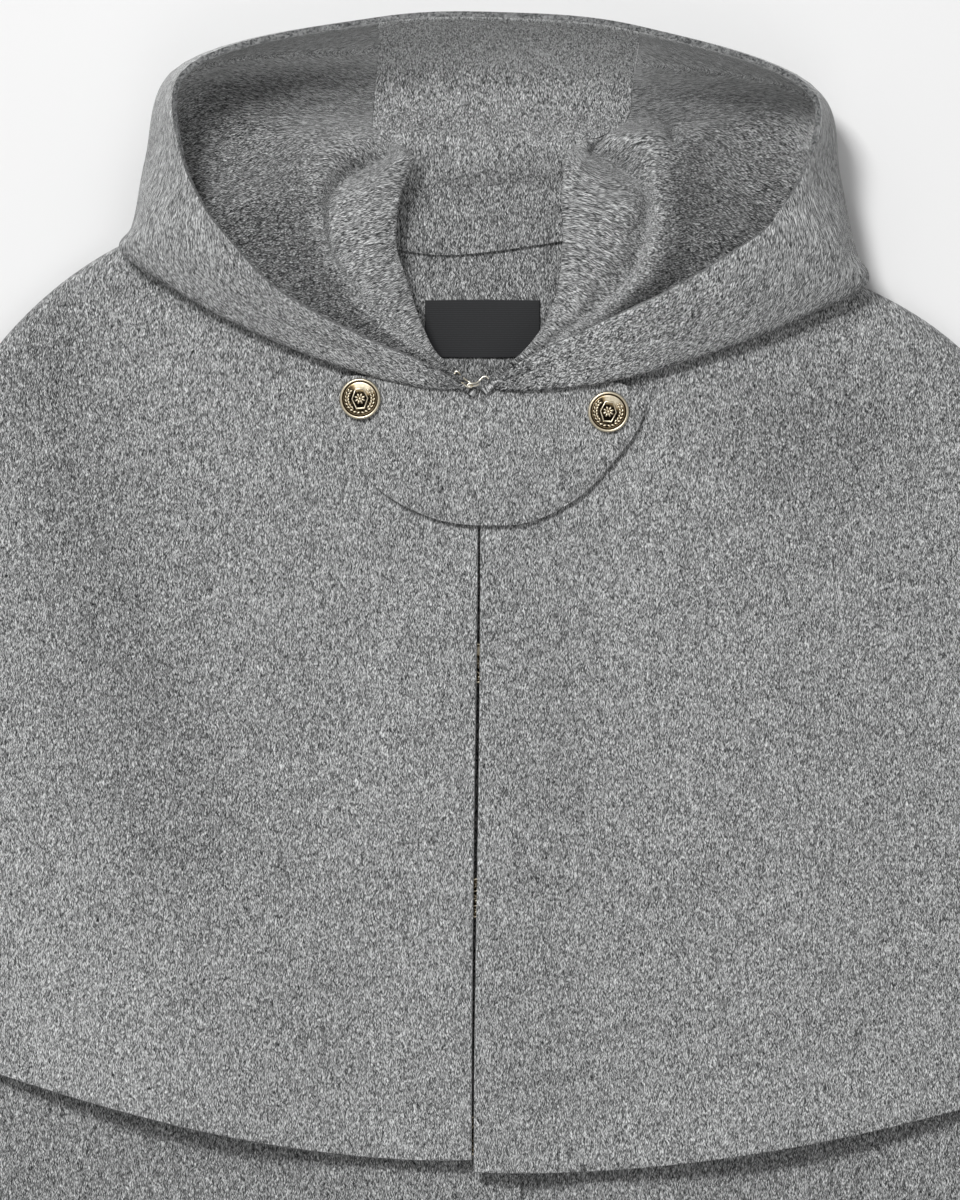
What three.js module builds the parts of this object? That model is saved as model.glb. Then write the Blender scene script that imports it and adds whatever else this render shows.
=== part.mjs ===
// A hooded wool cape coat, laid flat on its back with the hood turned down.
// The outer layer is a shoulder capelet that meets edge to edge in front under a half-moon throat tab.
// Below it lies the long coat layer, which laps and buttons. Each piece of cloth is a thin closed wall.
// Millimetres, +Z up. X runs towards the wearer's left, Y towards the hood, Z away from the table.
// The plan starts at the throat, where the two ends of the hood meet, and is centred at the end.
import * as THREE from "three";

// Driving sizes
const CLOTH = 2.5; // double-faced wool
const RIM_CLOTH = 4.2; // the turned edge of the hood
const SEAM = 0.3; // between two pieces at a seam
const AIR = 0.7; // between two cloths that lie on each other
const TAB_AIR = 0.95; // between the capelet and the throat tab
const SLACK = 1; // more air, where a cloth slides over another one
const REST = 0.4; // between a small piece and the cloth that it lies on
const NEST = 4; // the coat's side folds lie this far inside the capelet's
const CAPELET_FOLD = 7.5; // how far in from the side each layer starts to turn over
const COAT_FOLD = 4.5;
const COAT_HEM = -760; // throat to hem at the centre front
const CAPELET_HEM = -388;
const COAT_HALF_HEM = 400;
const OVERLAP = 21.5; // how far each coat front runs past the centre
const BUTTON = { radius: 10.25, height: 5 };
const BUTTON_SPACING = 118.5;
const FIRST_BUTTON = -137.5;
const COAT_BUTTONS = 5;
const BAG_THICKNESS = 5.6; // the two layers of the hood that hang down behind

const vec = (x, y, z = 0) => new THREE.Vector3(x, y, z);
const mix = (a, b, k) => a + (b - a) * k;
const clamp = (k, low, high) => Math.min(high, Math.max(low, k));
const bell = (x, centre, width) => Math.exp(-(((x - centre) / width) ** 2));

function smooth(from, to, x) {
  const k = clamp((x - from) / (to - from), 0, 1);
  return k * k * (3 - 2 * k);
}

// The neckline: each front from the throat to the shoulder, and the back across between the shoulders.
// The wearer's right side has negative X.
const SIDES = {
  right: {
    sign: -1,
    throat: vec(-3, 0),
    neckHandles: [vec(-30, 14), vec(-66, 45)],
    shoulder: vec(-68, 93),
    shoulderHandle: vec(-128, 93),
    widestHandle: vec(-266, 87),
    widest: vec(-306, -143),
    hemEnd: vec(-335, -313),
    hemCentre: vec(-3.5, -387.5),
    hemHandles: [vec(-110, -392), vec(-235, -348)],
  },
  left: {
    sign: 1,
    throat: vec(3, 0),
    neckHandles: [vec(34, 12), vec(72, 45)],
    shoulder: vec(72, 93),
    shoulderHandle: vec(200, 43),
    widestHandle: vec(281, 54),
    widest: vec(312, -150),
    hemEnd: vec(341, -333),
    hemCentre: vec(0.5, -393.5),
    hemHandles: [vec(110, -399), vec(236, -368)],
  },
};
const BACK_NECK_HANDLES = [vec(-30, 99), vec(40, 103)];

const bezier = (a, [b, c], d) => new THREE.CubicBezierCurve3(a, b, c, d);

// One side of the garment in plan: the rounded shoulder, then a straight flare down to the hem at y.
function outline(side, y) {
  const hem = vec(side.sign * COAT_HALF_HEM, COAT_HEM + 55);
  const share = (y - side.widest.y) / (hem.y - side.widest.y);
  const path = new THREE.CurvePath();
  path.add(bezier(side.shoulder, [side.shoulderHandle, side.widestHandle], side.widest));
  path.add(new THREE.LineCurve3(side.widest, side.widest.clone().lerp(hem, share)));
  return path;
}

const OUTLINE_STEPS = 90;
const outlinePoints = {
  right: outline(SIDES.right, COAT_HEM).getSpacedPoints(OUTLINE_STEPS),
  left: outline(SIDES.left, COAT_HEM).getSpacedPoints(OUTLINE_STEPS),
};

// How far the plan point lies from the garment's side.
function sideDistance(x, y) {
  const points = x < 0 ? outlinePoints.right : outlinePoints.left;
  let nearest = Infinity;
  for (let i = 0; i < points.length - 1; i++) {
    const [a, b] = [points[i], points[i + 1]];
    const along = { x: b.x - a.x, y: b.y - a.y };
    const k = ((x - a.x) * along.x + (y - a.y) * along.y) / (along.x ** 2 + along.y ** 2);
    const foot = clamp(k, 0, 1);
    nearest = Math.min(nearest, Math.hypot(x - a.x - along.x * foot, y - a.y - along.y * foot));
  }
  return nearest;
}

// The top of the garment's outline at X: the back neck, or the shoulder past it.
function shoulderTop(x) {
  if (x > SIDES.right.shoulder.x && x < SIDES.left.shoulder.x) return 97;
  const points = x < 0 ? outlinePoints.right : outlinePoints.left;
  const i = points.findIndex((p) => Math.abs(p.x) > Math.abs(x));
  if (i < 1) return points[0].y;
  const k = (x - points[i - 1].x) / (points[i].x - points[i - 1].x);
  return mix(points[i - 1].y, points[i].y, k);
}

// Heights of the layers, from the table up. Each is the middle of its cloth.
const BAG = { x: 8, y: 60, halfWidth: 96, depth: 98 };

function bagLift(x, y) {
  const reach = Math.hypot((x - BAG.x) / BAG.halfWidth, Math.min(0, y - BAG.y) / BAG.depth);
  return (BAG_THICKNESS + AIR + SEAM) * (1 - smooth(1.02, 2.3, reach));
}

const capeletBackHem = (x) => CAPELET_HEM - 12 + (x * x) / 1500;
const capeletBackHeight = (x, y) => CLOTH / 2 + bagLift(x, y);

function coatBackHeight(x, y) {
  const covered = 1 - smooth(24, 84, capeletBackHem(x) - y);
  return CLOTH / 2 + bagLift(x, y) + (CLOTH + AIR + SLACK) * covered;
}

// Soft flutes run up from the coat's hem, where the flare has more cloth than the table needs.
const COAT_FLUTES = [
  { x: -262, width: 40, height: 7 },
  { x: -118, width: 46, height: 5 },
  { x: 128, width: 48, height: 5.5 },
  { x: 272, width: 38, height: 6.5 },
];

function coatFrontHeight(x, y) {
  const below = smooth(-430, COAT_HEM, y);
  const lean = 1 + 0.25 * below;
  const flutes = COAT_FLUTES.reduce(
    (sum, f) => sum + f.height * below * bell(x, f.x * lean, f.width * (0.7 + 0.3 * below)),
    0,
  );
  const side = 1.2 * bell(sideDistance(x, y), 8, 22);
  return coatBackHeight(x, y) + CLOTH + AIR + 1.6 + side + flutes;
}

// The wearer's right front lies on the left one where they lap.
const lapLift = (x) => (CLOTH + AIR + SLACK / 2) * smooth(-62, -OVERLAP - 6, x);

// The capelet follows the coat, clears the lap and the buttons, and stands off the coat at its hem.
const CAPELET_FLUTES = [
  { x: -150, width: 62, height: 7 },
  { x: 150, width: 70, height: 6.5 },
];

function capeletFrontHeight(x, y) {
  const lap = (CLOTH + AIR) * smooth(-66, -34, x) * (1 - smooth(26, 66, x));
  const buttons = 5.2 * (1 - smooth(4, 58, Math.abs(x))) * smooth(-62, -116, y);
  const below = smooth(-150, CAPELET_HEM + 10, y);
  const flutes = CAPELET_FLUTES.reduce((sum, f) => sum + f.height * below * bell(x, f.x, f.width), 0);
  return coatFrontHeight(x, y) + CLOTH + AIR + lap + buttons + flutes + SLACK;
}

const capeletTop = (x, y) => capeletFrontHeight(x, y) + CLOTH / 2;
const TAB = { x: 4, y: 8, radius: 80 };

// The face that the hood lies on: the capelet's top with the tab on it, and the table past the shoulders.
function hoodSupport(x, y) {
  const tabReach = Math.hypot(x - TAB.x, y - TAB.y) / TAB.radius;
  const tab = (CLOTH + TAB_AIR) * (1 - smooth(1.04, 1.3, tabReach)) * (1 - smooth(6, 26, y));
  const past = y - shoulderTop(x);
  const top = capeletTop(x, Math.min(y, shoulderTop(x) - 8)) + tab;
  return top * (1 - smooth(-3, 28, past));
}

// A closed wall round a grid of points in the middle of the cloth: rows of points, all of one length.
// before and after are the next rows past the ends, where the cloth turns on into its neighbour.
function wall(rows, { thickness = () => CLOTH, before = rows[0], after = rows.at(-1) } = {}) {
  const count = rows.length;
  const length = rows[0].length;
  const row = (i) => (i < 0 ? before : i < count ? rows[i] : after);
  const faces = [[], []];
  for (let i = 0; i < count; i++) {
    for (let j = 0; j < length; j++) {
      const across = row(i + 1)[j].clone().sub(row(i - 1)[j]);
      const down = rows[i][Math.min(j + 1, length - 1)].clone().sub(rows[i][Math.max(j - 1, 0)]);
      const normal = across.cross(down).normalize();
      const half = thickness(j / (length - 1)) / 2;
      faces[0].push(rows[i][j].clone().addScaledVector(normal, half));
      faces[1].push(rows[i][j].clone().addScaledVector(normal, -half));
    }
  }
  const under = count * length;
  const index = [];
  const quad = (a, b, c, d) => index.push(a, b, c, a, c, d);
  for (let i = 0; i < count - 1; i++) {
    for (let j = 0; j < length - 1; j++) {
      const [a, b] = [i * length + j, (i + 1) * length + j];
      quad(a, b, b + 1, a + 1);
      quad(under + a, under + a + 1, under + b + 1, under + b);
    }
    const [a, b] = [i * length, (i + 1) * length];
    quad(a, under + a, under + b, b);
    quad(a + length - 1, b + length - 1, under + b + length - 1, under + a + length - 1);
  }
  for (let j = 0; j < length - 1; j++) {
    const k = (count - 1) * length + j;
    quad(j, j + 1, under + j + 1, under + j);
    quad(k, under + k, under + k + 1, k + 1);
  }
  const points = [...faces[0], ...faces[1]];
  let volume = 0;
  for (let i = 0; i < index.length; i += 3) {
    const [a, b, c] = index.slice(i, i + 3).map((k) => points[k]);
    volume += a.dot(b.clone().cross(c)) / 6;
  }
  const geometry = new THREE.BufferGeometry().setFromPoints(points);
  geometry.setIndex(volume > 0 ? index : index.reverse());
  return geometry;
}

// The plan of a four-sided panel between its four edges: a Coons patch.
// across runs from the centre to the side, down from the top to the hem.
function patch({ centre, side, top, hem }, across, down) {
  return vec(0, 0)
    .addScaledVector(centre(down), 1 - across)
    .addScaledVector(side(down), across)
    .addScaledVector(top(across), 1 - down)
    .addScaledVector(hem(across), down)
    .addScaledVector(centre(0), -(1 - across) * (1 - down))
    .addScaledVector(side(0), -across * (1 - down))
    .addScaledVector(centre(1), -(1 - across) * down)
    .addScaledVector(side(1), -across * down);
}

const evenly = (from, to, steps) => Array.from({ length: steps + 1 }, (_, i) => mix(from, to, i / steps));
const turns = [28, 59, 90, 121].map(THREE.MathUtils.degToRad);

// The side of one layer: its outline, moved in by inset, and the inward direction along it.
// reach(down, distance) gives the plan point that far in from the fold.
function sideFold(side, hemY, inset) {
  const path = outline(side, hemY);
  return (down, distance) => {
    const p = path.getPointAt(clamp(down, 0, 1));
    const along = path.getTangentAt(clamp(down, 0, 1));
    const reach = side.sign * (inset + distance);
    return vec(p.x + along.y * reach, p.y - along.x * reach);
  };
}

// A layer's fold turns over in a quarter ellipse, from the height of its own face to the seam's.
function foldRow(fold, radius, height, seamHeight, turn, downs) {
  return downs.map((down) => {
    const flat = fold(down, radius);
    const p = fold(down, radius * (1 - Math.sin(turn)));
    const seam = seamHeight(down);
    return vec(p.x, p.y, seam + (height(flat.x, flat.y) - seam) * Math.cos(turn));
  });
}

function flatRows(edges, height, columns, downs) {
  return columns.map((across) =>
    downs.map((down) => {
      const p = patch(edges, across, down);
      return vec(p.x, p.y, height(p.x, p.y));
    }),
  );
}

// Half-way between the front's and the back's face, in a layer's side fold.
const seamMiddle = (fold, radius, front, back) => (down) => {
  const p = fold(down, radius);
  return (front(p.x, p.y) + back(p.x, p.y)) / 2;
};

// The front opening of the capelet leans a little and gapes most at chest height.
const slitCentre = (y) => mix(0.6, -2.6, smooth(-60, CAPELET_HEM, y));
const slitHalf = (y) => 0.45 + 0.4 * bell(y, -210, 90);

const LAYERS = {
  capelet: {
    radius: CAPELET_FOLD,
    front: capeletFrontHeight,
    back: capeletBackHeight,
    fold: (side) => sideFold(side, side.hemEnd.y, CLOTH / 2),
    backHem: [vec(-150, CAPELET_HEM - 36), vec(150, CAPELET_HEM - 36)],
    downs: 15,
    columns: { front: 12, back: 13 },
    lift: () => () => 0,
    opening: (side) => (y) => vec(slitCentre(y) + side.sign * slitHalf(y), y),
    openingEnds: (side) => [-2, side.hemCentre.y],
    hemHandles: (side) => side.hemHandles,
  },
  coat: {
    radius: COAT_FOLD,
    front: coatFrontHeight,
    back: coatBackHeight,
    fold: (side) => sideFold(side, COAT_HEM + 55, CLOTH / 2 + NEST),
    backHem: [vec(-170, COAT_HEM - 14), vec(170, COAT_HEM - 14)],
    downs: 19,
    columns: { front: 12, back: 13 },
    lift: (side) => (side.sign < 0 ? lapLift : () => 0),
    opening: (side) => (y) => vec(-side.sign * OVERLAP, y),
    openingEnds: (side) => [-6, COAT_HEM + (side.sign > 0 ? 2 : 0)],
    hemHandles: (side) => [vec(side.sign * 150, COAT_HEM - 2), vec(side.sign * 285, COAT_HEM + 26)],
  },
};

function frontGeometry(layer, side) {
  const downs = evenly(0, 1, layer.downs);
  const fold = layer.fold(side);
  const lift = layer.lift(side);
  const height = (x, y) => layer.front(x, y) + lift(x);
  const opening = layer.opening(side);
  const [top, bottom] = layer.openingEnds(side);
  const neck = bezier(opening(top), side.neckHandles, fold(0, layer.radius));
  const hem = bezier(opening(bottom), layer.hemHandles(side), fold(1, layer.radius));
  const edges = {
    centre: (k) => opening(mix(top, bottom, k)),
    side: (k) => fold(k, layer.radius),
    top: (k) => neck.getPoint(k),
    hem: (k) => hem.getPoint(k),
  };
  const middle = seamMiddle(fold, layer.radius, layer.front, layer.back);
  const seam = (down) => middle(down) + SEAM / 2;
  const folded = turns.map((turn) => foldRow(fold, layer.radius, layer.front, seam, turn, downs));
  const after = folded.pop();
  const columns = evenly(0, 1, layer.columns.front).map((k) => k ** 1.35); // closer at the opening
  return wall([...flatRows(edges, height, columns, downs), ...folded], { after });
}

function backGeometry(layer) {
  const downs = evenly(0, 1, layer.downs);
  const [right, left] = [layer.fold(SIDES.right), layer.fold(SIDES.left)];
  const neck = bezier(right(0, layer.radius), BACK_NECK_HANDLES, left(0, layer.radius));
  const hem = bezier(right(1, layer.radius), layer.backHem, left(1, layer.radius));
  const edges = {
    centre: (k) => right(k, layer.radius),
    side: (k) => left(k, layer.radius),
    top: (k) => neck.getPoint(k),
    hem: (k) => hem.getPoint(k),
  };
  const folded = (fold) => {
    const middle = seamMiddle(fold, layer.radius, layer.front, layer.back);
    const seam = (down) => middle(down) - SEAM / 2;
    return turns.map((turn) => foldRow(fold, layer.radius, layer.back, seam, turn, downs));
  };
  const [first, last] = [folded(right).toReversed(), folded(left)];
  const [before, after] = [first.shift(), last.pop()];
  const flat = flatRows(edges, layer.back, evenly(0, 1, layer.columns.back), downs);
  return wall([...first, ...flat, ...last], { before, after });
}

// The hood, turned down and spread open. Each row is a section of its cloth from the neck seam outwards:
// over the roll beside the neck, down to the floor of the bowl, round the fold and up to the rim.
// The rows run from the wearer's right end at the throat, round the back of the neck, to the left end.
// Columns: neck seam, inner edge, crest, valley, second crest, floor, foot, fold, band, rim.
const HOOD = [
  [[-2.2, 2.6, 29.2], [-2.1, 1.8, 29.2], [-2, 1, 29.2], [-1.9, 0.2, 29.2], [-1.8, -0.6, 29.2],
    [-1.7, -1.4, 29.2], [-1.6, -2.2, 29.2], [-1.5, -3, 29.3], [-1.4, -3.9, 29.5], [-1.3, -4.9, 29.9]],
  [[-20, 8, 29.2], [-16.5, 12.5, 31], [-19.5, 14.5, 33.2], [-22.8, 13.6, 32], [-25.3, 12.6, 32.2],
    [-27.5, 8.5, 29.8], [-27.5, 3, 29], [-26, -0.8, 30], [-24.5, 3.8, 33.5], [-22, 8.4, 34.8]],
  [[-34, 20, 26.6], [-26, 30, 29.8], [-35, 34.5, 33.8], [-46, 34, 31], [-52.5, 34, 32.2],
    [-62, 26, 26.5], [-66, 16, 25.5], [-66, 9.2, 27.5], [-65, 17, 33.5], [-61, 25.7, 38]],
  [[-52, 38, 24.5], [-36.5, 51.5, 29.5], [-50, 54, 34.8], [-62.5, 51, 29], [-69.5, 55, 33],
    [-87, 49, 24.5], [-108, 37, 22.8], [-118, 30.2, 27], [-113, 39, 37], [-102, 49.2, 43]],
  [[-62, 57, 23.4], [-41.5, 67, 29], [-59, 69, 35], [-72, 68, 28], [-79, 72, 33],
    [-100, 68, 23.5], [-135, 55, 22.6], [-153, 49.8, 27], [-144, 59, 40], [-121.5, 69.5, 47]],
  [[-65, 68, 23.5], [-41.8, 77, 29], [-62, 80, 35], [-74, 79.5, 27.5], [-80.5, 82, 33],
    [-103, 80, 22], [-144, 73, 22.6], [-176.3, 67.8, 28], [-158, 74, 42], [-129, 78.5, 49]],
  [[-66, 75, 23.5], [-41.3, 85, 29], [-67, 90, 35.2], [-74, 93.5, 25], [-80.5, 94, 32.3],
    [-105, 90, 17], [-148, 85, 20], [-177.2, 71.5, 27.8], [-162, 81, 42], [-134.5, 85.5, 50]],
  [[-64, 86, 23.2], [-39.3, 96, 29], [-58.5, 99.5, 35.2], [-65.5, 105, 24], [-78.5, 107, 31.6],
    [-106, 109, 9], [-145, 118, 8], [-164.5, 112, 20], [-160, 114, 42], [-147, 114, 52]],
  [[-56, 93, 21.5], [-33.2, 111, 29], [-43.5, 110, 34.2], [-51.5, 114, 24], [-70, 118.5, 29],
    [-102, 127, 5], [-136, 147, 4], [-150.5, 154, 18], [-151.5, 155, 40], [-147, 153.5, 53]],
  [[-38, 98.3, 15], [-34.8, 107.5, 19.5], [-38.5, 119, 27.5], [-48, 123, 24.5], [-51.5, 127, 19.5],
    [-52.5, 137, 5], [-51, 155, 4], [-50, 168, 18], [-50, 177, 38], [-50, 181, 51]],
  [[2, 99.8, 14], [2, 107, 20], [3, 116, 25.5], [4.5, 121.5, 22], [6.5, 128, 14],
    [9, 140, 4.5], [12, 155, 4], [14, 168, 18], [15, 179, 38], [15, 183.5, 50]],
  [[43, 102.8, 15], [43, 111, 20.5], [50, 120.5, 27.5], [61.5, 124, 24.5], [69.5, 127, 19.5],
    [75.5, 134, 5], [77.5, 150, 4], [79, 162, 18], [80.5, 172.5, 38], [80.5, 176.5, 51]],
  [[63, 93, 21.5], [44.5, 114, 28.5], [53.5, 112.5, 34.2], [61.5, 117, 24], [84, 123.5, 29],
    [120, 127, 5], [152, 137, 4], [169, 142.5, 18], [170, 144, 40], [167, 143, 53]],
  [[70, 84, 23.2], [43, 97, 29], [66.5, 102.5, 35.2], [74, 108, 24], [91, 110.5, 31.6],
    [120, 105, 10], [158, 108, 8], [179, 104, 20], [175, 105, 42], [162, 106.5, 52]],
  [[71, 70, 23.5], [43.6, 83, 29], [76, 90.5, 35.2], [84, 94, 25], [91.5, 94.5, 32.3],
    [118, 82, 19], [160, 70, 20], [191.8, 56, 27.8], [178, 67, 42], [150.5, 87, 50]],
  [[69, 62, 23.5], [43.5, 70, 29], [69, 73, 35], [82.5, 71.5, 27.5], [89.5, 74, 33],
    [116, 71, 22.5], [156, 59, 22.6], [191, 51.8, 28], [172, 61, 42], [144.5, 78.5, 49]],
  [[63, 47, 23.8], [42.5, 57, 29.3], [64, 59.5, 34.8], [77.5, 57.5, 28.5], [84.5, 58, 33],
    [107, 56, 23.6], [139, 42, 22.6], [163, 34.8, 27], [151, 46, 39.5], [126, 65.5, 46.5]],
  [[50, 31, 25], [38, 42, 29.6], [51, 43.5, 34.5], [64, 41.5, 30.6], [70.5, 41, 32.4],
    [85, 36, 24.8], [105, 24, 23], [118, 17.2, 27], [111, 29, 36.5], [95, 47, 42.5]],
  [[34, 18, 26.6], [29.5, 28, 29.8], [37, 29.5, 33.6], [45, 28, 31], [50, 26.5, 32],
    [57.5, 20, 26.6], [64, 10, 25.5], [66, 2.6, 27.5], [64, 14, 33.5], [57, 29, 38]],
  [[20, 8, 29.2], [16.5, 13, 31], [20.3, 14, 33.2], [23.6, 12.6, 32], [26.2, 11, 32.2],
    [28, 7, 29.8], [27.5, 1.5, 29], [26.3, -2.1, 30], [25, 4.5, 33.5], [22.3, 12, 34.8]],
  [[3.2, 2.6, 29.2], [3.1, 1.9, 29.2], [3, 1.2, 29.2], [2.9, 0.5, 29.2], [2.8, -0.2, 29.2],
    [2.7, -0.9, 29.2], [2.6, -1.6, 29.2], [2.5, -2.3, 29.3], [2.3, -3.1, 29.5], [2.1, -4, 29.9]],
];
const HOOD_SEAM = 0.75;
const CENTRE_PANEL = [9, 11]; // the rows at the two seams of the middle panel
const HOOD_STEPS = [2, 2, 2, 2, 2, 2, 2, 3, 3]; // steps between one column and the next

const along = (points) => new THREE.CatmullRomCurve3(points, false, "centripetal");
const hoodPlaces = HOOD_STEPS.flatMap((steps, i) => evenly(i, i + 1, steps).slice(0, -1));
hoodPlaces.push(HOOD_STEPS.length);
const hoodSections = HOOD.map((row) => {
  const section = along(row.map((p) => vec(...p)));
  return hoodPlaces.map((place) => section.getPoint(place / (row.length - 1)));
});
const hoodAcross = hoodPlaces.map((_, j) => along(hoodSections.map((section) => section[j])));

// The turned edge takes up the last part before the rim.
const hoodThickness = (column) => mix(CLOTH, RIM_CLOTH, smooth(7.9, 8.7, column));

// One row of the hood, at any place between the sections. Its floor stays clear of what it lies on.
function hoodRow(place, shift = 0) {
  return hoodAcross.map((curve, j) => {
    const at = place / (HOOD.length - 1);
    const p = curve.getPoint(at).addScaledVector(curve.getTangent(at), shift);
    const column = hoodPlaces[j];
    const onNeck = column <= 1 && p.y < shoulderTop(p.x) - 4;
    const atThroat = place < 1.2 || place > HOOD.length - 2.2;
    if (onNeck || atThroat) p.z = Math.max(p.z, hoodSupport(p.x, p.y) + hoodThickness(column) / 2 + AIR);
    if (column >= 4.4 && column <= 7.4) p.z = Math.max(p.z, hoodSupport(p.x, p.y) + CLOTH / 2 + AIR);
    return p;
  });
}

function hoodPanel(from, to, stepsEach = 3) {
  const steps = (to - from) * stepsEach;
  const last = HOOD.length - 1;
  const rows = evenly(from, to, steps).map((place, i) => {
    const shift = i === 0 && from > 0 ? HOOD_SEAM / 2 : i === steps && to < last ? -HOOD_SEAM / 2 : 0;
    return hoodRow(place, shift);
  });
  return wall(rows, {
    thickness: (k) => hoodThickness(hoodPlaces[Math.round(k * (hoodPlaces.length - 1))]),
    before: from > 0 ? hoodRow(from - 1 / stepsEach) : undefined,
    after: to < last ? hoodRow(to + 1 / stepsEach) : undefined,
  });
}

// The hood's spare cloth lies folded flat under the back: two layers, rounded at their edge.
function bagGeometry() {
  const centre = vec(BAG.x, BAG.y);
  const radii = { x: BAG.halfWidth * 0.93, below: BAG.depth * 0.93, above: 46 };
  const profile = [
    [0, 0], [0.955, 0], [0.985, 0.7], [1, 1.4], [0.985, 2.2], [0.968, 2.8],
    [0.985, 3.4], [1, 4.2], [0.985, 4.9], [0.955, BAG_THICKNESS], [0, BAG_THICKNESS],
  ];
  const segments = 40;
  const points = [];
  const index = [];
  for (const [share, z] of profile.slice(1, -1)) {
    for (let i = 0; i < segments; i++) {
      const angle = (i / segments) * 2 * Math.PI;
      const [right, up] = [radii.x * Math.cos(angle), Math.sin(angle) > 0 ? radii.above : radii.below];
      points.push(vec(centre.x + right * share, centre.y + up * share * Math.sin(angle), z));
    }
  }
  const rings = profile.length - 2;
  for (let r = 0; r < rings - 1; r++) {
    for (let i = 0; i < segments; i++) {
      const [a, b] = [r * segments + i, r * segments + ((i + 1) % segments)];
      index.push(a, b, b + segments, a, b + segments, a + segments);
    }
  }
  const [bottom, top] = [points.length, points.length + 1];
  points.push(centre.clone(), vec(centre.x, centre.y, BAG_THICKNESS));
  for (let i = 0; i < segments; i++) {
    const [a, b] = [i, (i + 1) % segments];
    index.push(bottom, b, a, top, a + (rings - 1) * segments, b + (rings - 1) * segments);
  }
  const geometry = new THREE.BufferGeometry().setFromPoints(points);
  geometry.setIndex(index);
  return geometry;
}

const plan = (points) => along(points.map(([x, y]) => vec(x, y)));

// A small flat piece between two plan curves that run side by side, lying at the given height.
function strip(topCurve, bottomCurve, height, thickness, columns, rows) {
  const grid = evenly(0, 1, columns).map((k) => {
    const [a, b] = [topCurve.getPoint(k), bottomCurve.getPoint(k)];
    return evenly(0, 1, rows).map((share) => {
      const p = a.clone().lerp(b, share);
      return vec(p.x, p.y, height(p.x, p.y));
    });
  });
  return wall(grid, { thickness: () => thickness });
}

const BAND_CLOTH = 2;
const BAND_TOP = [[-58, 87.7], [-50, 94.2], [-37, 97.1], [2, 98.4], [43, 101.3], [54, 96.7], [62, 89.7]];
const BAND_BOTTOM = [[-57, 73], [-50, 70.5], [-41, 68], [-15, 65], [42.5, 72], [54, 74], [62, 76]];
const TAB_TOP = [
  [-73.5, -5], [-71.5, 0.5], [-66, 4], [-40, 3], [0, -1.5], [42, 1], [70, 1], [79, -3.5], [82.8, -9],
];
const TAB_BOTTOM = [
  [-74, -12], [-71.6, -23], [-63.5, -36], [-47, -54], [-20, -67.3], [3, -70.2], [26, -68.4], [50, -56],
  [68, -38],
  [79, -23.5], [83, -14],
];

const tabHeight = (x, y) => capeletTop(x, y) + TAB_AIR + CLOTH / 2;

const LABEL = { left: -26.5, right: 31, top: 42.5, bottom: 14, thickness: 0.9 };

function labelGeometry() {
  const top = plan([[LABEL.left, LABEL.top], [2, LABEL.top + 0.3], [LABEL.right, LABEL.top]]);
  const bottom = plan([[LABEL.left, LABEL.bottom], [2, LABEL.bottom - 0.3], [LABEL.right, LABEL.bottom]]);
  const height = (x, y) => coatBackHeight(x, y) + CLOTH / 2 + REST + LABEL.thickness / 2;
  return strip(top, bottom, height, LABEL.thickness, 6, 3);
}

// A shank button: a domed face inside a raised rim, on a short stem.
function buttonGeometry() {
  const { radius, height } = BUTTON;
  const profile = [
    [0, 0], [2.2, 0], [2.2, 1], [6.5, 1.5], [9.6, 2.4], [radius, 3.3], [10.1, 4.2], [9.4, 4.6],
    [8.7, 3.9], [6, height - 0.5], [3, height - 0.1], [0, height],
  ].map(([r, z]) => new THREE.Vector2(r, z));
  return new THREE.LatheGeometry(profile, 18).rotateX(Math.PI / 2);
}

// A button stands on the cloth, tilted with its slope.
function addButton(name, x, y, surface) {
  const step = 6;
  const slope = vec(
    -(surface(x + step, y) - surface(x - step, y)) / (2 * step),
    -(surface(x, y + step) - surface(x, y - step)) / (2 * step),
    1,
  ).normalize();
  const geometry = buttonGeometry();
  geometry.applyQuaternion(new THREE.Quaternion().setFromUnitVectors(vec(0, 0, 1), slope));
  const foot = vec(x, y, surface(x, y)).addScaledVector(slope, REST);
  geometry.translate(foot.x, foot.y, foot.z);
  add(name, geometry, metal);
}

// A bent wire through the points.
function wire(points, radius = 0.5) {
  const shape = new THREE.Shape().absarc(0, 0, radius, 0, 2 * Math.PI);
  const path = along(points.map((p) => vec(...p)));
  return new THREE.ExtrudeGeometry(shape, { steps: points.length * 2, curveSegments: 4, extrudePath: path });
}

const GREY = 0x8a8c8d;
const wool = new THREE.MeshStandardMaterial({ name: "wool", color: GREY, roughness: 0.95, metalness: 0 });
const woven = new THREE.MeshStandardMaterial({ name: "label", color: 0x222324, roughness: 0.7, metalness: 0 });
const metal = new THREE.MeshStandardMaterial({ name: "metal", color: 0xa58a5c, roughness: 0.35, metalness: 1 });

const garment = new THREE.Group();

function add(name, geometry, material) {
  const mesh = new THREE.Mesh(geometry, material.clone());
  mesh.name = name;
  garment.add(mesh);
}

for (const [layerName, layer] of Object.entries(LAYERS)) {
  for (const [sideName, side] of Object.entries(SIDES)) {
    add(`${layerName}_front_${sideName}`, frontGeometry(layer, side), wool);
  }
  add(`${layerName}_back`, backGeometry(layer), wool);
}
add("hood_bag", bagGeometry(), wool);
add("hood_side_right", hoodPanel(0, CENTRE_PANEL[0]), wool);
add("hood_centre", hoodPanel(CENTRE_PANEL[0], CENTRE_PANEL[1]), wool);
add("hood_side_left", hoodPanel(CENTRE_PANEL[1], HOOD.length - 1), wool);

const bandHeight = (x, y) => coatBackHeight(x, y) + CLOTH / 2 + REST + BAND_CLOTH / 2;
add("neck_band", strip(plan(BAND_TOP), plan(BAND_BOTTOM), bandHeight, BAND_CLOTH, 12, 3), wool);
add("throat_tab", strip(plan(TAB_TOP), plan(TAB_BOTTOM), tabHeight, CLOTH, 20, 6), wool);
add("label", labelGeometry(), woven);

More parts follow.
